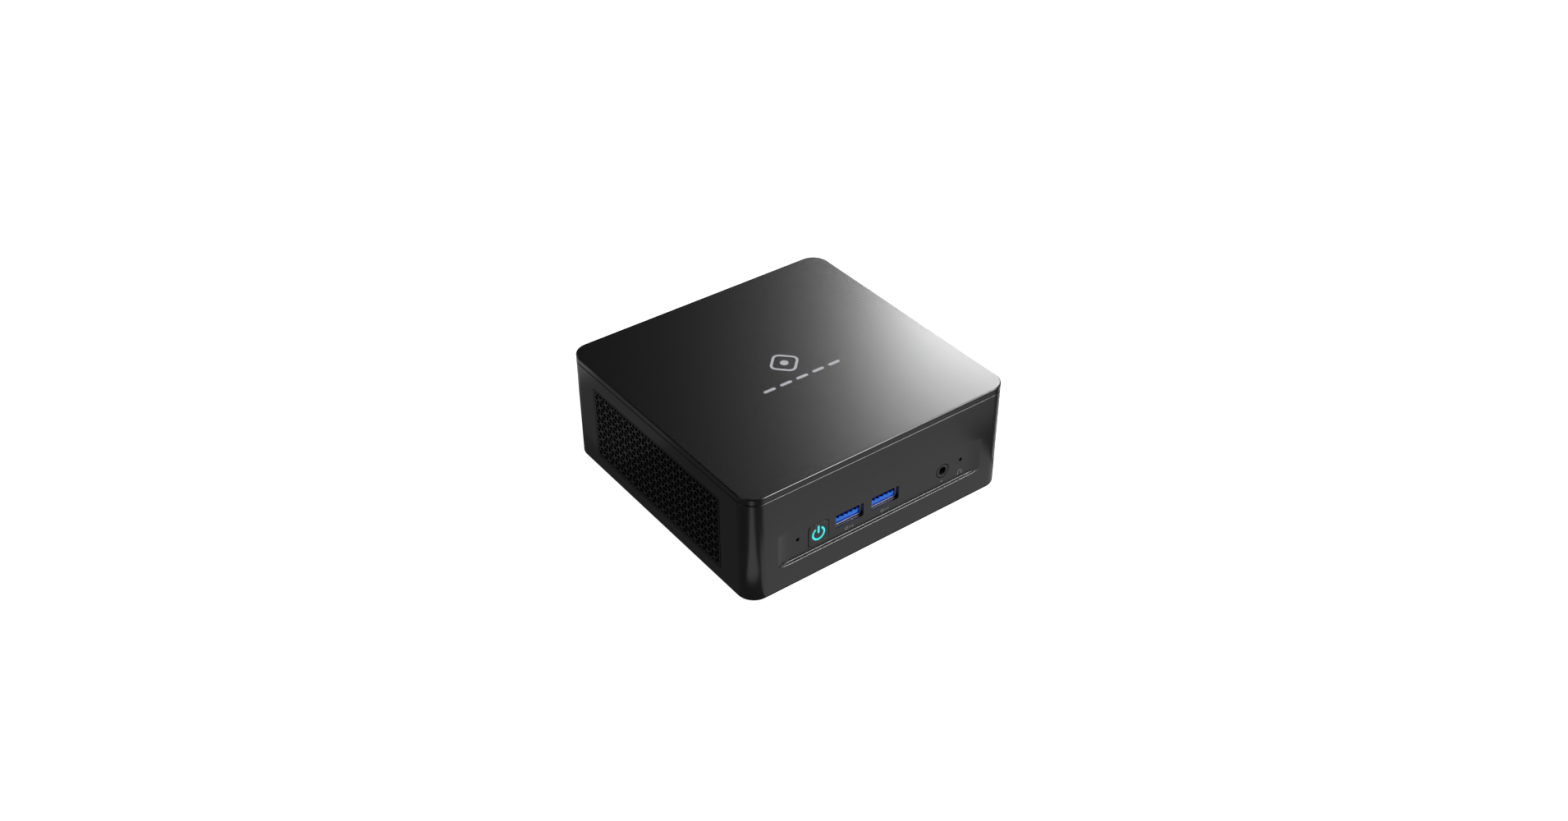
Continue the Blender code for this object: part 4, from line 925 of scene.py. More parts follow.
def setInputs(modifier, values):
    # A modifier's inputs go by their sockets' identifiers
    for item in modifier.node_group.interface.items_tree:
        if item.item_type == "SOCKET" and item.in_out == "INPUT" and item.name in values:
            modifier[item.identifier] = values[item.name]


def grown(name, tree, values, base=None):
    obj = linked(name, base or bpy.data.meshes.new(name))
    modifier = obj.modifiers.new("grown", "NODES")
    modifier.node_group = tree
    setInputs(modifier, values)
    return evaluated(obj)


def buildLatticeTree():
    tree, given, out = geometryTree("lattice", [
        ("Pitch Y", "NodeSocketFloat", 4.0), ("Pitch Z", "NodeSocketFloat", 4.0),
        ("Columns", "NodeSocketInt", 10),
        ("Rows", "NodeSocketInt", 8), ("First Cell", "NodeSocketVector", (0, 0, 0)),
        ("Hole Corner", "NodeSocketFloat", 0.3), ("Hole Points", "NodeSocketInt", 32),
        ("Area Low", "NodeSocketVector", (0, 0, 0)), ("Area High", "NodeSocketVector", (0, 0, 0)),
        ("Keep", "NodeSocketFloat", 0.8), ("Plate Width", "NodeSocketFloat", 80.0),
        ("Plate Height", "NodeSocketFloat", 30.0), ("Plate Corner", "NodeSocketFloat", 1.0),
        ("Plate Centre", "NodeSocketVector", (0, 0, 0)), ("Thickness", "NodeSocketFloat", 1.0),
        ("Material", "NodeSocketMaterial", None),
    ])
    joinHoles = tree.nodes.new("GeometryNodeJoinGeometry")
    for points in cellHoles():
        hole = addNode(tree, "GeometryNodeCurvePrimitiveQuadrilateral", mode="POINTS")
        for index, (x, y) in enumerate(points):
            hole.inputs[f"Point {index + 1}"].default_value = (x, y, 0)
        rounded = addNode(tree, "GeometryNodeFilletCurve", {
            "Curve": hole.outputs[0], "Count": 4, "Radius": given["Hole Corner"]}, mode="POLY")
        even = addNode(tree, "GeometryNodeResampleCurve",
                       {"Curve": rounded.outputs[0], "Count": given["Hole Points"]})
        tree.links.new(even.outputs[0], joinHoles.inputs[0])
    columnSpan = mathNode(tree, "MULTIPLY", given["Pitch Y"],
                          mathNode(tree, "SUBTRACT", given["Columns"], 1.0))
    rowSpan = mathNode(tree, "MULTIPLY", given["Pitch Z"], mathNode(tree, "SUBTRACT", given["Rows"], 1.0))
    grid = addNode(tree, "GeometryNodeMeshGrid", {
        "Size X": columnSpan, "Size Y": rowSpan, "Vertices X": given["Columns"],
        "Vertices Y": given["Rows"]})
    half = vectorOf(tree, mathNode(tree, "MULTIPLY", columnSpan, 0.5),
                    mathNode(tree, "MULTIPLY", rowSpan, 0.5))
    shift = vectorNode(tree, "ADD", half, given["First Cell"])
    gridAt = addNode(tree, "GeometryNodeTransform", {"Geometry": grid.outputs[0], "Translation": shift})
    cells = addNode(tree, "GeometryNodeInstanceOnPoints",
                    {"Points": gridAt.outputs[0], "Instance": joinHoles.outputs[0]})
    holes = addNode(tree, "GeometryNodeRealizeInstances", {"Geometry": cells.outputs[0]})
    # Holes whose middle lies outside the area go, and the rest are trimmed to it
    position = tree.nodes.new("GeometryNodeInputPosition").outputs[0]
    keepBoth = vectorOf(tree, given["Keep"], given["Keep"])
    lowKeep = vectorNode(tree, "SUBTRACT", given["Area Low"], keepBoth)
    highKeep = vectorNode(tree, "ADD", given["Area High"], keepBoth)
    above = vectorNode(tree, "SUBTRACT", position, highKeep)
    below = vectorNode(tree, "SUBTRACT", lowKeep, position)
    worst = vectorNode(tree, "MAXIMUM", above, below)
    parts = addNode(tree, "ShaderNodeSeparateXYZ", {0: worst})
    outside = mathNode(tree, "MAXIMUM", parts.outputs[0], parts.outputs[1])
    outside = mathNode(tree, "GREATER_THAN", outside, 0.0)
    kept = addNode(tree, "GeometryNodeDeleteGeometry",
                   {"Geometry": holes.outputs[0], "Selection": outside}, domain="CURVE")
    upper = vectorNode(tree, "MINIMUM", position, given["Area High"])
    inside = vectorNode(tree, "MAXIMUM", upper, given["Area Low"])
    trimmed = addNode(tree, "GeometryNodeSetPosition", {"Geometry": kept.outputs[0], "Position": inside})
    plate = addNode(tree, "GeometryNodeCurvePrimitiveQuadrilateral", {
        "Width": given["Plate Width"], "Height": given["Plate Height"]}, mode="RECTANGLE")
    plateRound = addNode(tree, "GeometryNodeFilletCurve", {
        "Curve": plate.outputs[0], "Count": 6, "Radius": given["Plate Corner"]}, mode="POLY")
    plateAt = addNode(tree, "GeometryNodeTransform", {
        "Geometry": plateRound.outputs[0], "Translation": given["Plate Centre"]})
    outlines = tree.nodes.new("GeometryNodeJoinGeometry")
    tree.links.new(trimmed.outputs[0], outlines.inputs[0])
    tree.links.new(plateAt.outputs[0], outlines.inputs[0])
    sheet = addNode(tree, "GeometryNodeFillCurve", {"Curve": outlines.outputs[0]})
    thick = addNode(tree, "GeometryNodeExtrudeMesh", {
        "Mesh": sheet.outputs[0], "Offset Scale": given["Thickness"], "Individual": False}, mode="FACES")
    back = addNode(tree, "GeometryNodeFlipFaces", {"Mesh": sheet.outputs[0]})
    solid = tree.nodes.new("GeometryNodeJoinGeometry")
    tree.links.new(thick.outputs[0], solid.inputs[0])
    tree.links.new(back.outputs[0], solid.inputs[0])
    merged = addNode(tree, "GeometryNodeMergeByDistance",
                     {"Geometry": solid.outputs[0], "Distance": 0.002})
    real = addNode(tree, "GeometryNodeRealizeInstances", {"Geometry": merged.outputs[0]})
    painted = addNode(tree, "GeometryNodeSetMaterial",
                      {"Geometry": real.outputs[0], "Material": given["Material"]})
    tree.links.new(painted.outputs[0], out[0])
    return tree


def makeGrilles():
    tree = buildLatticeTree()
    window, clear = housing["window"], lattice["clear"]
    yLow, yHigh, zLow, zHigh = lattice["area"]
    width, height = window["width"] - 2 * clear, window["height"] - 2 * clear
    for side, sign in (("left", -1), ("right", 1)):
        low, high = where(f"{side}_grille")
        face = low.x if side == "left" else high.x
        # The plate is drawn flat: its x runs along the case's Y, its y along Z, and its thickness along X
        values = {
            "Pitch Y": lattice["pitchY"], "Pitch Z": lattice["pitchZ"], "Columns": lattice["columns"],
            "Rows": lattice["rows"], "First Cell": (lattice["firstColumn"], lattice["firstRow"], 0),
            "Hole Corner": lattice["holeCorner"], "Hole Points": lattice["points"],
            "Area Low": (yLow, zLow, 0), "Area High": (yHigh, zHigh, 0), "Keep": lattice["keep"],
            "Plate Width": width, "Plate Height": height, "Plate Corner": window["corner"] - clear,
            "Plate Centre": (window["y"], window["z"], 0), "Thickness": lattice["thickness"],
            "Material": finishes["grilleBlack"],
        }
        plate = grown("plate", tree, values)
        plate = moved(plate, Matrix(((0, 0, 1, face), (1, 0, 0, 0), (0, 1, 0, 0), (0, 0, 0, 1)))
                      @ Matrix.Translation((0, 0, -lattice["thickness"] if sign > 0 else 0)))
        flange, opening = (roundedRect(width + 3 - grow, height + 3 - grow, 1.5) for grow in (0, 5.4))
        near, far = lattice["flangeDepth"]
        back = flatPiece("flange", [flange, opening], -far, -near, 0.15)
        collar = flatPiece("collar",
                           [roundedRect(width, height, 1.0), roundedRect(width - 2, height - 2, 0.9)],
                           -near - 0.2, -lattice["thickness"] + 0.1)
        # A solid near-black sheet behind the lattice: painted shade, so that the inside of the case shows
        # dark through the holes
        shadeSheet = flatPiece("shadeSheet", [roundedRect(width + 2, height + 2, 1.2)], -far - 0.45, -far + 0.1)
        turnedTo(side, (face, window["y"], window["z"]), back, collar, shadeSheet)
        grille = joined(f"{side}Grille", [
            (plate, "grilleBlack"), (back, "grilleBlack"), (collar, "grilleBlack"),
            (shadeSheet, "paintedShadeBlack")])
        finished(grille, "case", stands=[f"{side}_grille"], smooth=30)
    print("grilles done")


# Front of the case: power button, its lit symbol, sockets, pinholes' parts and printed signs

def refined(node, edge=0.12, angle=32):
    # The fixed part's own shape, merged, with its edges eased
    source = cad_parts[node]
    obj = linked(node + "Fine", source.data.copy())
    obj.data.transform(Matrix.Scale(1 / mm, 4) @ source.matrix_world)
    bm = bmesh.new()
    bm.from_mesh(obj.data)
    bmesh.ops.remove_doubles(bm, verts=bm.verts, dist=0.002)
    bmesh.ops.dissolve_limit(bm, angle_limit=radians(0.5), verts=bm.verts, edges=bm.edges)
    bm.to_mesh(obj.data)
    bm.free()
    if edge:
        bevel = obj.modifiers.new("eased", "BEVEL")
        bevel.width = edge
        bevel.segments = 2
        bevel.limit_method = "ANGLE"
        bevel.angle_limit = radians(angle)
        obj = evaluated(obj)
    return obj


def arcBand(inner, outer, start, end, count=40):
    back = [(inner * cos(a), inner * sin(a)) for a in evenly(end, start, count)]
    return [(outer * cos(a), outer * sin(a)) for a in evenly(start, end, count)] + back


def symbolOutlines(grow):
    spec = buttonSpec
    outer, inner = spec["ringOuter"] + grow, spec["ringInner"] - grow
    half = asin((spec["opening"] / 2 - grow) / spec["ringOuter"])
    band = arcBand(inner, outer, pi / 2 + half, pi / 2 + tau - half)
    width, height = spec["barWidth"] + 2 * grow, spec["barTop"] - spec["barLow"] + 2 * grow
    bar = roundedRect(width, height, 0.25, 3, (0, (spec["barTop"] + spec["barLow"]) / 2))
    return [band, bar]


def makeButton():
    low, high = where("power_button")
    at = ((low.x + high.x) / 2, low.y, (low.z + high.z) / 2)
    spec = buttonSpec
    plate = roundedRect(spec["size"], spec["size"], spec["corner"], 6)
    cap = flatPiece("cap", [plate] + symbolOutlines(spec["symbolGap"]), -spec["cap"], 0, spec["edge"], 2)
    bore = ringPoints(spec["bore"], 40)
    skirt = flatPiece("skirt", [plate, bore], -spec["skirt"], -0.9)
    wide = roundedRect(spec["flange"], spec["flange"], spec["flangeCorner"])
    flange = flatPiece("flange", [wide, bore], -3.4, -2.55, 0.15)
    turnedTo("front", at, cap, skirt, flange)
    button = joined("powerCap", [(cap, "buttonSatin"), (skirt, "buttonSatin"), (flange, "socketBlack")])
    finished(button, "power_button", stands=["power_button"], smooth=35)
    lit = flatPiece("lit", symbolOutlines(0.0), -1.15, -0.03, 0.04)
    disc = flatPiece("disc", [ringPoints(spec["lightDisc"], 40)], -2.05, -1.1, 0.1)
    turnedTo("front", at, lit, disc)
    guide = joined("lightGuide", [(lit, "litCyan"), (disc, "litCyan")])
    finished(guide, "power_button", stands=["power_light_guide"])
    finished(refined("power_plunger"), "power_button", "socketBlack", ["power_plunger"])
    finished(refined("reset_plunger"), "reset_plunger", "socketBlack", ["reset_plunger"])
    print("button done")


usbSpec = {
    "wall": 0.34, "corner": 0.75, "liner": 0.16,
    "notches": 5, "notchPitch": 2.12, "notchWidth": 1.0, "notchDepth": 0.42,
}


def tongueOutline(width, height, middle):
    # A tongue's cross-section with the contact notches along its top
    spec, top = usbSpec, middle + height / 2
    points = [(-width / 2, middle - height / 2), (width / 2, middle - height / 2), (width / 2, top)]
    half = (spec["notches"] - 1) / 2
    for i in range(spec["notches"]):
        x = (half - i) * spec["notchPitch"]
        for share in (1, 0.8, 0.35, -0.35, -0.8, -1):
            sink = spec["notchDepth"] * (1 - abs(share) ** 4)
            points.append((x + share * spec["notchWidth"] / 2, top - sink))
    return points + [(-width / 2, top)]


def makeFrontSockets():
    spec = usbSpec
    for side in ("left", "right"):
        low, high = where(f"front_usb_{side}_shell")
        at = ((low.x + high.x) / 2, low.y, (low.z + high.z) / 2)
        width, height, depth = high.x - low.x, high.z - low.z, high.y - low.y
        outlines = [roundedRect(width, height, spec["corner"], 5)]
        for inset in (spec["wall"], spec["wall"] - 0.02, spec["wall"] + spec["liner"]):
            outlines.append(roundedRect(width - 2 * inset, height - 2 * inset, spec["corner"] - 0.24, 5))
        shell = flatPiece("shell", outlines[:2], -depth, 0, 0.07)
        liner = flatPiece("liner", outlines[2:], 0.6 - depth, -0.22)
        back = flatPiece("back", [outlines[2]], 0.3 - depth, 1.4 - depth)
        turnedTo("front", at, shell, liner, back)
        shell = joined(f"{side}UsbShell", [(shell, "plated"), (liner, "linerBlue"), (back, "linerBlue")])
        finished(shell, "case", stands=[f"front_usb_{side}_shell"], smooth=35)
        low, high = where(f"front_usb_{side}_tongue")
        middle = (low.z + high.z) / 2 - at[2]
        outline = tongueOutline(high.x - low.x, high.z - low.z, middle)
        front = at[1] - low.y
        # The tongue's front band takes the bright blue, a painted highlight where the front light falls; the
        # body behind it takes the darker blue
        lip = flatPiece("tongue lip", [outline], front - 0.4, front, 0.05)
        body = flatPiece("tongue", [outline], at[1] - high.y, front - 0.38)
        parts = [(lip, "paintedLitBlue"), (body, "linerBlue")]
        turnedTo("front", at, lip, body)
        for i in range(spec["notches"]):
            x = at[0] + (i - (spec["notches"] - 1) / 2) * spec["notchPitch"]
            # Near-black boxes fill the contact notches: painted shade in the slots
            corner = (x - 0.48, low.y + 0.42, high.z - 0.4)
            parts.append((softBox("slot", corner, (x + 0.48, low.y + 2.4, high.z + 0.01), 0.02, 1),
                          "paintedShadeBlack"))
            corner = (x - 0.34, low.y + 2.5, high.z - 0.4)
            parts.append((softBox("contact", corner, (x + 0.34, high.y - 1, high.z - 0.2), 0.04, 1),
                          "gold"))
        finished(joined(f"{side}UsbTongue", parts), "case",
                 stands=[f"front_usb_{side}_tongue"], smooth=35)
    low, high = where("audio_jack")
    at = ((low.x + high.x) / 2, low.y, high.z - 2.5)
    profile = [
        (0, -11.4), (2.2, -11.4), (2.2, -2.6), (2.95, -2.6), (2.95, -0.14), (2.9, -0.05), (2.78, 0),
        (2.0, 0), (1.86, -0.07), (1.8, -0.2), (1.8, -11), (0, -11),
    ]
    barrel = turned("barrel", profile, 48)
    body = flatPiece("body", [roundedRect(6.6, 4.7, 0.3), ringPoints(2.1, 32)], low.y - high.y,
                     low.y + 58.3, 0.1)
    # A near-black lining and end inside the bore: painted shade in the hole
    boreShadeLining = flatPiece("boreShadeLining", [ringPoints(1.79, 48), ringPoints(1.66, 48)], -10.9, -0.45)
    end = flatPiece("end", [ringPoints(1.7, 32)], -10.95, -10.2)
    springs = []
    for turn, start in ((205, -1.0), (262, -1.7), (75, -3.2)):
        spring = softBox("spring", (-0.42, -1.82, start - 3.4), (0.42, -1.42, start), 0.12)
        springs.append((moved(spring, Matrix.Rotation(radians(turn + 90), 4, "Z")), "plated"))
    parts = [(barrel, "jackRing"), (body, "socketBlack"), (boreShadeLining, "paintedShadeBlack"),
             (end, "paintedShadeBlack")] + springs
    turnedTo("front", at, *(part for part, _ in parts))
    jack = joined("audioJack", parts)
    finished(jack, "case", stands=["audio_jack"], smooth=35)
    for node, slot, finish in (("microphone", "contact_gold", "gold"),
                               ("power_switch", "chip_dark", "chipBlack"),
                               ("reset_switch", "chip_dark", "chipBlack")):
        finished(refined(node), "case", finish, [node])
    print("front sockets done")


def makeSigns():
    # Small printed signs below the sockets: plain lines and dots, no lettering
    floorY = where("housing")[0].y + housing["recess"]["depth"]
    signs = []
    for x in (-15.3, 2.3):
        signs.append(([roundedRect(1.5, 1.1, 0.2, 3, (-1.1, 0)),
                       roundedRect(1.06, 0.66, 0.1, 3, (-1.1, 0))], x, 14.8))
        signs.append(([roundedRect(1.3, 0.24, 0.1, 2, (0.6, 0))], x, 14.8))
        signs.append(([ringPoints(0.34, 12, (1.9, 0))], x, 14.8))
    signs.append(([ringPoints(0.34, 12)], 31.8, 14.8))
    signs.append(([arcBand(0.86, 1.1, radians(-8), radians(188), 18)], 41.4, 15.1))
    for x in (-0.98, 0.98):
        signs.append(([roundedRect(0.5, 1.05, 0.2, 3, (x, -0.45))], 41.4, 15.1))
    pieces = []
    for outlines, x, z in signs:
        piece = flatPiece("sign", outlines, -0.02, 0.02)
        pieces.append(moved(piece, facing("front", (x, floorY, z))))
    finished(gathered("frontSigns", pieces), "case", "printGrey")
    print("signs done")


# Rear sockets: the fixed shapes with eased edges, plus contacts, pins and lights

def strips(node, count, side, reach=0.5, proud=0.04, width=0.55):
    # Contact strips along a tongue's top or bottom
    low, high = where(node)
    z = high.z if side > 0 else low.z
    margin = (high.x - low.x) / count / 2
    half = margin * width
    made = []
    for x in evenly(low.x + margin, high.x - margin, count):
        corners = ((x - half, low.y + 0.5, z - proud), (x + half, high.y - reach, z + proud))
        made.append((softBox("strip", *corners, 0), "gold"))
    return made


def makeRearSockets():
    plans = (
        ("hdmi_tongue", "socket_black", "socketBlack", 10),
        ("displayport_tongue", "socket_black", "socketBlack", 10),
        # The rear USB tongues take the bright blue, the lit copy of their blue that stands for a painted
        # highlight
        ("rear_usb_upper_tongue", "tongue_blue", "paintedLitBlue", 5),
        ("usb_c_tongue", "socket_black", "socketBlack", 12),
        ("rear_usb_lower_tongue", "tongue_blue", "paintedLitBlue", 5),
    )
    for node, slot, finish, count in plans:
        parts = [(refined(node, 0.1), finish)] + strips(node, count, 1) + strips(node, count, -1)
        finished(joined(node + "Fine", parts), "case", stands=[node], smooth=35)
    for node in ("hdmi_shell", "displayport_shell", "rear_usb_shell", "usb_c_shell"):
        finished(refined(node, 0.1), "case", "plated", [node], 35)
    low, high = where("lan_jack")
    x, face = (low.x + high.x) / 2, high.y
    parts = [(refined("lan_jack", 0.14), "shieldTin")]
    for i in range(8):
        at = x + (i - 3.5) * 1.02
        wire = softBox("wire", (at - 0.2, face - 11, 19.9), (at + 0.2, face - 2.2, 20.25), 0.08, 1)
        parts.append((wire, "gold"))
    for offset, finish in ((-5.6, "lensGreen"), (5.6, "lensAmber")):
        lens = softBox("lens", (x + offset - 1.4, face - 1.0, 28.3),
                       (x + offset + 1.4, face + 0.12, 29.9), 0.2)
        parts.append((lens, finish))
    finished(joined("lanJack", parts), "case", stands=["lan_jack"], smooth=35)
    low, high = where("dc_jack")
    centre = Vector(((low.x + high.x) / 2, high.y, (low.z + high.z) / 2))
    pin = turned("pin",
                 [(0, -9.5), (1.02, -9.5), (1.02, -0.9), (0.75, -0.5), (0.3, -0.5), (0.3, -1.2),
                  (0, -1.2)], 28)
    sleeve = flatPiece("sleeve", [ringPoints(3.08, 40), ringPoints(2.85, 40)], -8.8, -0.6)
    ring = flatPiece("ring", [ringPoints(3.9, 40), ringPoints(3.12, 40)], -0.1, 0.15, 0.06)
    parts = [(refined("dc_jack", 0.16), "socketBlack"), (pin, "plated"), (sleeve, "shieldTin"),
             (ring, "jackRing")]
    turnedTo("rear", centre, pin, sleeve, ring)
    finished(joined("dcJack", parts), "case", stands=["dc_jack"], smooth=35)
    print("rear sockets done")


# Underside: cover and feet

def makeUnderside():
    finished(refined("bottom_cover", 0.12), "case", "coverBlack", ["bottom_cover"], 35)
    names, feet = [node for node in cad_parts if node.startswith("foot_")], []
    for name in names:
        low, high = where(name)
        r, top = (high.x - low.x) / 2, high.z
        profile = [
            (0, 0.25), (r - 2.6, 0.25), (r - 2.3, 0.05), (r - 2.1, 0), (r - 0.5, 0), (r - 0.15, 0.14),
            (r, 0.45),
            (r, top - 0.05), (r - 0.2, top), (0, top),
        ]
        feet.append(moved(turned("foot", profile, 48),
                          Matrix.Translation(((low.x + high.x) / 2, (low.y + high.y) / 2, 0))))
    finished(gathered("feet", feet), "case", "footRubber", names, 30)
    print("underside done")


# Screws: one Geometry Nodes screw, placed on points; one mesh for each body

screwSets = (
    # name start, head radius, head height, shank radius, shank length, way it points in
    ("cover_screw", 2.6, 0.9, 1.2, 6.4, 1), ("board_screw", 2.1, 1.3, 1.1, 6.4, -1),
    ("drive_screw", 2.5, 0.9, 1.1, 4.5, -1), ("tray_screw", 2.6, 1.2, 1.08, 2.8, 1),
)


def buildScrewTree():
    tree, given, out = geometryTree("screw", [
        ("Head Radius", "NodeSocketFloat", 2.0), ("Head Height", "NodeSocketFloat", 1.0),
        ("Shank Radius", "NodeSocketFloat", 1.0), ("Shank Length", "NodeSocketFloat", 5.0),
        ("Turns", "NodeSocketInt", 9), ("Slot Width", "NodeSocketFloat", 0.5),
        ("Turn", "NodeSocketVector", (0, 0, 0)),
        ("Material", "NodeSocketMaterial", None),
    ])
    # Head: a low dome cut by a cross; shank: stacked cones that read as a thread
    height = given["Head Height"]
    dome = addNode(tree, "GeometryNodeMeshUVSphere",
                   {"Radius": given["Head Radius"], "Segments": 40, "Rings": 20})
    flat = vectorOf(tree, 1.0, 1.0, mathNode(tree, "DIVIDE", height, given["Head Radius"]))
    dome = addNode(tree, "GeometryNodeTransform", {"Geometry": dome.outputs[0], "Scale": flat})
    across = mathNode(tree, "MULTIPLY", given["Head Radius"], 2.4)
    lower = addNode(tree, "GeometryNodeMeshCube", {"Size": vectorOf(tree, across, across, 4.0)})
    lower = addNode(tree, "GeometryNodeTransform",
                    {"Geometry": lower.outputs[0], "Translation": (0, 0, -2)})
    arm = mathNode(tree, "MULTIPLY", given["Head Radius"], 1.15)
    cutters = [lower]
    for turn in (0.0, pi / 2):
        size = vectorOf(tree, arm, given["Slot Width"], height)
        bar = addNode(tree, "GeometryNodeMeshCube", {"Size": size})
        lift = vectorOf(tree, z=mathNode(tree, "MULTIPLY", height, 0.92))
        cutters.append(addNode(tree, "GeometryNodeTransform", {
            "Geometry": bar.outputs[0], "Rotation": (0, 0, turn), "Translation": lift}))
    head = addNode(tree, "GeometryNodeMeshBoolean", {"Mesh 1": dome.outputs[0]}, operation="DIFFERENCE")
    for cutter in cutters:
        tree.links.new(cutter.outputs[0], head.inputs["Mesh 2"])
    pitch = mathNode(tree, "DIVIDE", given["Shank Length"], given["Turns"])
    cone = addNode(tree, "GeometryNodeMeshCone", {
        "Vertices": 20, "Radius Top": mathNode(tree, "MULTIPLY", given["Shank Radius"], 0.82),
        "Radius Bottom": given["Shank Radius"], "Depth": pitch})
    down = vectorOf(tree, z=mathNode(tree, "MULTIPLY", pitch, -1.0))
    line = addNode(tree, "GeometryNodeMeshLine",
                   {"Count": given["Turns"], "Start Location": down, "Offset": down})
    thread = addNode(tree, "GeometryNodeInstanceOnPoints",
                     {"Points": line.outputs[0], "Instance": cone.outputs[0]})
    whole = tree.nodes.new("GeometryNodeJoinGeometry")
    tree.links.new(head.outputs[0], whole.inputs[0])
    tree.links.new(thread.outputs[0], whole.inputs[0])
    placed = addNode(tree, "GeometryNodeInstanceOnPoints", {
        "Points": given["Geometry"], "Instance": whole.outputs[0], "Rotation": given["Turn"]})
    real = addNode(tree, "GeometryNodeRealizeInstances", {"Geometry": placed.outputs[0]})
    painted = addNode(tree, "GeometryNodeSetMaterial",
                      {"Geometry": real.outputs[0], "Material": given["Material"]})
    tree.links.new(painted.outputs[0], out[0])
    return tree


def makeScrews():
    tree = buildScrewTree()
    made = {"case": [], "lid": []}
    covered = {"case": [], "lid": []}
    for start, headRadius, headHeight, shankRadius, shankLength, way in screwSets:
        names = [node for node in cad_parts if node.startswith(start)]
        body = "lid" if start == "tray_screw" else "case"
        points = []
        for name in names:
            low, high = where(name)
            z = high.z - headHeight if way < 0 else low.z + headHeight
            points.append(((low.x + high.x) / 2, (low.y + high.y) / 2, z))
        base = bpy.data.meshes.new("points")
        base.from_pydata(points, [], [])
        made[body].append(grown("screws", tree, {
            "Head Radius": headRadius, "Head Height": headHeight, "Shank Radius": shankRadius,
            "Shank Length": shankLength, "Turns": 11, "Slot Width": 0.55,
            "Turn": (pi if way > 0 else 0.0, 0, 0.4),
            "Material": finishes["screwZinc"],
        }, base))
        covered[body] += names
    for body, screws in made.items():
        finished(gathered(f"{body}Screws", screws), body, "screwZinc", covered[body], 35)
    print("screws done")


# Inside: board, modules, cooler and drive tray

freeAreas = (
    # x from, x to, y from, y to on the board's top
    (-56, -49.5, -40, 36), (40, 56, 4, 16), (-46, 34, 27.5, 38), (-34, 32, -4.5, 2), (-56, -45, -54, -42),
    (13, 27, -55, -42), (38, 56, -54, -36), (24, 33.5, -40, -9),
)


def buildScatterTree():
    tree, given, out = geometryTree("scatter", [
        ("Spacing", "NodeSocketFloat", 2.6), ("Density", "NodeSocketFloat", 0.5),
        ("Seed", "NodeSocketInt", 3),
        ("Body Size", "NodeSocketVector", (1, 1, 1)), ("End Size", "NodeSocketVector", (1, 1, 1)),
        ("Body Material", "NodeSocketMaterial", None), ("End Material", "NodeSocketMaterial", None),
    ])
    points = addNode(tree, "GeometryNodeDistributePointsOnFaces", {
        "Mesh": given["Geometry"], "Distance Min": given["Spacing"], "Density Max": given["Density"],
        "Seed": given["Seed"]}, distribute_method="POISSON")
    quarter = addNode(tree, "FunctionNodeRandomValue", {"Seed": given["Seed"]}, data_type="INT")
    quarter.inputs[4].default_value, quarter.inputs[5].default_value = 0, 3
    turn = vectorOf(tree, z=mathNode(tree, "MULTIPLY", quarter.outputs[2], pi / 2))
    whole = tree.nodes.new("GeometryNodeJoinGeometry")
    for key in ("Body", "End"):
        box = addNode(tree, "GeometryNodeMeshCube", {"Size": given[key + " Size"]})
        lift = addNode(tree, "ShaderNodeVectorMath", {0: given[key + " Size"], 1: (0, 0, 0.5)},
                       operation="MULTIPLY")
        seated = addNode(tree, "GeometryNodeTransform",
                         {"Geometry": box.outputs[0], "Translation": lift.outputs[0]})
        painted = addNode(tree, "GeometryNodeSetMaterial", {
            "Geometry": seated.outputs[0], "Material": given[key + " Material"]})
        tree.links.new(painted.outputs[0], whole.inputs[0])
    placed = addNode(tree, "GeometryNodeInstanceOnPoints", {
        "Points": points.outputs[0], "Instance": whole.outputs[0], "Rotation": turn})
    real = addNode(tree, "GeometryNodeRealizeInstances", {"Geometry": placed.outputs[0]})
    tree.links.new(real.outputs[0], out[0])
    return tree


smallParts = (
    # spacing, seed, body size, end size, finish
    (3.4, 5, (1.3, 1.25, 0.75), (2.0, 1.2, 0.7), "ceramicTan"),
    (5.2, 8, (1.5, 0.8, 0.5), (2.2, 0.85, 0.45), "chipBlack"),
    (9.0, 21, (4.4, 4.4, 1.6), (5.2, 3.6, 0.3), "ferriteGrey"),
    (8.0, 34, (3.4, 3.4, 0.9), (4.4, 2.9, 0.25), "chipBlack"),
)


def separated(obj, first, second):
    # Two objects from one, by its two materials
    parts = []
    for index, finish in enumerate((first, second)):
        bm = bmesh.new()
        bm.from_mesh(obj.data)
        wanted = obj.data.materials.find(finishes[finish].name)
        away = [face for face in bm.faces if face.material_index != wanted]
        bmesh.ops.delete(bm, geom=away, context="FACES")
        parts.append((fromBmesh(f"{obj.name} {index}", bm), finish))
    discarded(obj)
    return parts


def fingers(x0, x1, y0, y1, z, count):
    half = (x1 - x0) / count * 0.32
    places = evenly(x0 + half * 1.6, x1 - half * 1.6, count)
    return [(softBox("finger", (x - half, y0, z - 0.02), (x + half, y1, z + 0.025), 0), "gold")
            for x in places]


def turnedDot(x, y, z, radius):
    return flatPiece("dot", [ringPoints(radius, 16, (x, y))], z - 0.01, z + 0.02)


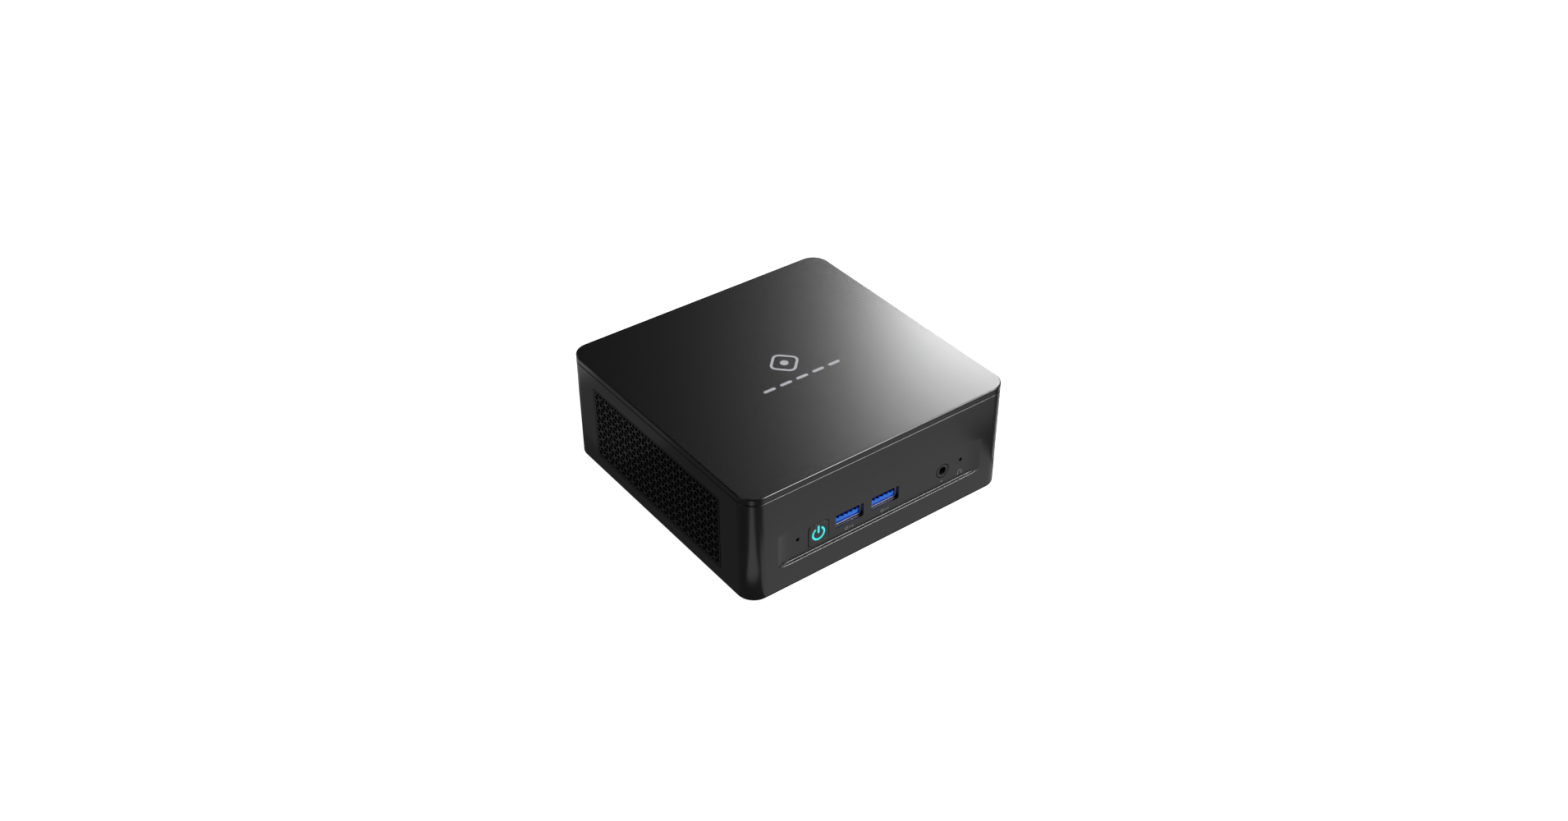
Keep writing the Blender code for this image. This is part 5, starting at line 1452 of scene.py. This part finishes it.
def makeBoard():
    low, high = where("motherboard")
    tree = buildScatterTree()
    board = refined("motherboard", 0.1)
    board.data.materials.clear()
    pieces = []
    for index, (spacing, seed, bodySize, endSize, finish) in enumerate(smallParts):
        bm = bmesh.new()
        for place, (x0, x1, y0, y1) in enumerate(freeAreas):
            # each kind keeps to its own strips of an area, so that kinds do not meet
            long = x1 - x0 > y1 - y0
            marks = evenly(x0, x1, 9) if long else evenly(y0, y1, 9)
            for strip in range(8):
                if (strip + place) % len(smallParts) != index:
                    continue
                a, b = marks[strip] + 1.6, marks[strip + 1] - 1.6
                if b <= a:
                    continue
                rect = (a, b, y0 + 1.6, y1 - 1.6) if long else (x0 + 1.6, x1 - 1.6, a, b)
                corners = [(rect[0], rect[2]), (rect[1], rect[2]), (rect[1], rect[3]), (rect[0], rect[3])]
                bm.faces.new([bm.verts.new((x, y, high.z)) for x, y in corners])
        base = bpy.data.meshes.new("areas")
        bm.to_mesh(base)
        bm.free()
        pieces.append(grown("parts", tree, {
            "Spacing": spacing, "Density": 1.0, "Seed": seed, "Body Size": bodySize, "End Size": endSize,
            "Body Material": finishes[finish], "End Material": finishes["shieldTin"],
        }, base))
    whole = [(board, "maskGreen")]
    for piece, (_, _, _, _, finish) in zip(pieces, smallParts):
        whole += separated(piece, finish, "shieldTin")
    pads = []
    for name in [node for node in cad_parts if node.startswith("board_screw")]:
        middle = middleOf(name)
        pads.append(flatPiece("pad", [ringPoints(3.4, 32), ringPoints(1.5, 24)], high.z - 0.02,
                              high.z + 0.05))
        moved(pads[-1], Matrix.Translation((middle.x, middle.y, 0)))
    whole.append((gathered("pads", pads), "gold"))
    finished(joined("mainBoard", whole), "case", stands=["motherboard"], smooth=30)
    print("board done")


memory = {
    "plate": 1.0, "chipsX": (-37.0, -20.3, -3.7, 13.0), "chipHalf": 5.5, "chipY": (-32, -22), "dot": 0.45,
    "capacitors": 22, "capacitorY": (-19.6, -18.9), "label": ((-30, -37.8), (6, -33.3)), "fingers": 52,
}
storage = {
    "plate": 0.8, "chipsX": (-27.0, -6.0, 15.0), "chipHalf": 7, "chipY": (6, 22), "dot": 0.5,
    "controller": ((24, 8), (31, 15)), "capacitors": 9, "capacitorX": 23.8, "capacitorPitch": 0.95,
}
wireless = {"plate": 0.8, "can": ((38.8, -19.5), (54.8, -2.5)), "plugsX": (40.6, 44.8), "plugY": -0.8,
            "fingers": 22}


def makeModules():
    for level in ("lower", "upper"):
        low, high = where(f"memory_module_{level}")
        top = low.z + memory["plate"]
        plate = softBox("plate", low, (high.x, high.y, top), 0.08, 1)
        parts = [(plate, "maskGreen")]
        half, (near, far) = memory["chipHalf"], memory["chipY"]
        for x in memory["chipsX"]:
            chip = softBox("chip", (x - half, near, top - 0.05), (x + half, far, high.z), 0.15)
            parts += [(chip, "chipBlack"),
                      (turnedDot(x - 4.4, far - 1.2, high.z, memory["dot"]), "markGrey")]
        near, far = memory["capacitorY"]
        for i in range(memory["capacitors"]):
            x = low.x + 3 + i * (high.x - low.x - 6) / (memory["capacitors"] - 1)
            capacitor = softBox("capacitor", (x - 0.5, near, top - 0.02), (x + 0.5, far, top + 0.5), 0.05,
                                1)
            parts.append((capacitor, "ceramicTan"))
        start, end = memory["label"]
        parts.append((softBox("label", (*start, top - 0.01), (*end, top + 0.06), 0), "printGrey"))
        parts += fingers(low.x + 1, high.x - 1, high.y - 2.6, high.y - 0.2, top, memory["fingers"])
        finished(joined(f"{level}Module", parts), "case", stands=[f"memory_module_{level}"],
                 smooth=30)
    low, high = where("solid_state_drive")
    top = low.z + storage["plate"]
    parts = [(softBox("plate", low, (high.x, high.y, top), 0.08, 1), "maskBlack")]
    half, (near, far) = storage["chipHalf"], storage["chipY"]
    for x in storage["chipsX"]:
        chip = softBox("chip", (x - half, near, top - 0.05), (x + half, far, high.z), 0.15)
        parts += [(chip, "chipBlack"), (turnedDot(x - 5.6, 20.4, high.z, storage["dot"]), "markGrey")]
    start, end = storage["controller"]
    parts.append((softBox("controller", (*start, top - 0.05), (*end, high.z - 0.4), 0.12), "chipBlack"))
    for i in range(storage["capacitors"]):
        x = storage["capacitorX"] + i * storage["capacitorPitch"]
        capacitor = softBox("capacitor", (x, 17.5, top - 0.02), (x + 0.6, 18.5, top + 0.5), 0.05, 1)
        parts.append((capacitor, "ceramicTan"))
    finished(joined("storageStick", parts), "case", stands=["solid_state_drive"], smooth=30)
    low, high = where("wireless_card")
    top = low.z + wireless["plate"]
    start, end = wireless["can"]
    can = softBox("can", (*start, low.z + 0.7), (*end, high.z), 0.3, 3)
    parts = [(softBox("plate", low, (high.x, high.y, top), 0.08, 1), "maskBlack"), (can, "shieldTin")]
    for x in wireless["plugsX"]:
        stub = [(0, 0), (1.0, 0), (1.0, 0.5), (0.8, 0.7), (0.45, 0.7), (0.45, 0.2), (0.2, 0.2),
                (0.2, 0.6), (0, 0.6)]
        parts.append((moved(turned("aerial plug", stub, 20),
                            Matrix.Translation((x, wireless["plugY"], top - 0.02))), "gold"))
    parts += fingers(low.x + 1, high.x - 1, low.y + 0.2, low.y + 2.4, top, wireless["fingers"])
    finished(joined("wirelessModule", parts), "case", stands=["wireless_card"], smooth=30)
    print("modules done")


def makeInside():
    low, high = where("coin_cell")
    r, deep = (high.x - low.x) / 2, high.z - low.z
    profile = [
        (0, 0), (r - 1.6, 0), (r - 1.3, 0.25), (r - 0.4, 0.3), (r - 0.1, 0.6), (r, 0.9), (r, deep - 0.3),
        (r - 0.3, deep),
        (r - 1.4, deep), (r - 1.5, deep - 0.06), (0, deep - 0.06),
    ]
    cell = turned("cell", profile, 56)
    moved(cell, Matrix.Translation(((low.x + high.x) / 2, (low.y + high.y) / 2, low.z)))
    finished(cell, "case", "plated", ["coin_cell"], 30)
    plans = (
        ("memory_socket", "socket_black", "socketBlack"), ("drive_socket", "socket_black", "socketBlack"),
        ("wireless_socket", "socket_black", "socketBlack"), ("drive_standoff", "plated_steel", "plated"),
        ("processor", "chip_dark", "chipBlack"), ("cold_plate", "cooler_copper", "copper"),
        ("heat_pipe", "cooler_copper", "copper"), ("fin_stack", "fin_aluminium", "finAluminium"),
        ("fan_housing", "socket_black", "socketBlack"),
    )
    for node, slot, finish in plans:
        finished(refined(node, 0.08 if node == "fin_stack" else 0.12), "case", finish, [node], 32)
    finished(refined("fan_rotor", 0.1), "fan_rotor", "socketBlack", ["fan_rotor"], 32)
    finished(refined("drive_tray", 0.15), "lid", "traySatin", ["drive_tray"], 32)
    print("inside done")


makeFinishes()
makeCamera()
makeFloor()
makeSky()
for lightName in ("softbox", "key", "leftFill", "rearFill"):
    makeLight(lightName, studio[lightName])
for cardName, card in cards.items():
    makeCard(cardName, *card)
makeHousing()
makeLid()
makeGrilles()
makeButton()
makeFrontSockets()
makeSigns()
makeRearSockets()
makeUnderside()
makeScrews()
makeBoard()
makeModules()
makeInside()
unreplaced = [name for name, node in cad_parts.items() if not node.hide_render]
print("fixed shapes left showing:", unreplaced)
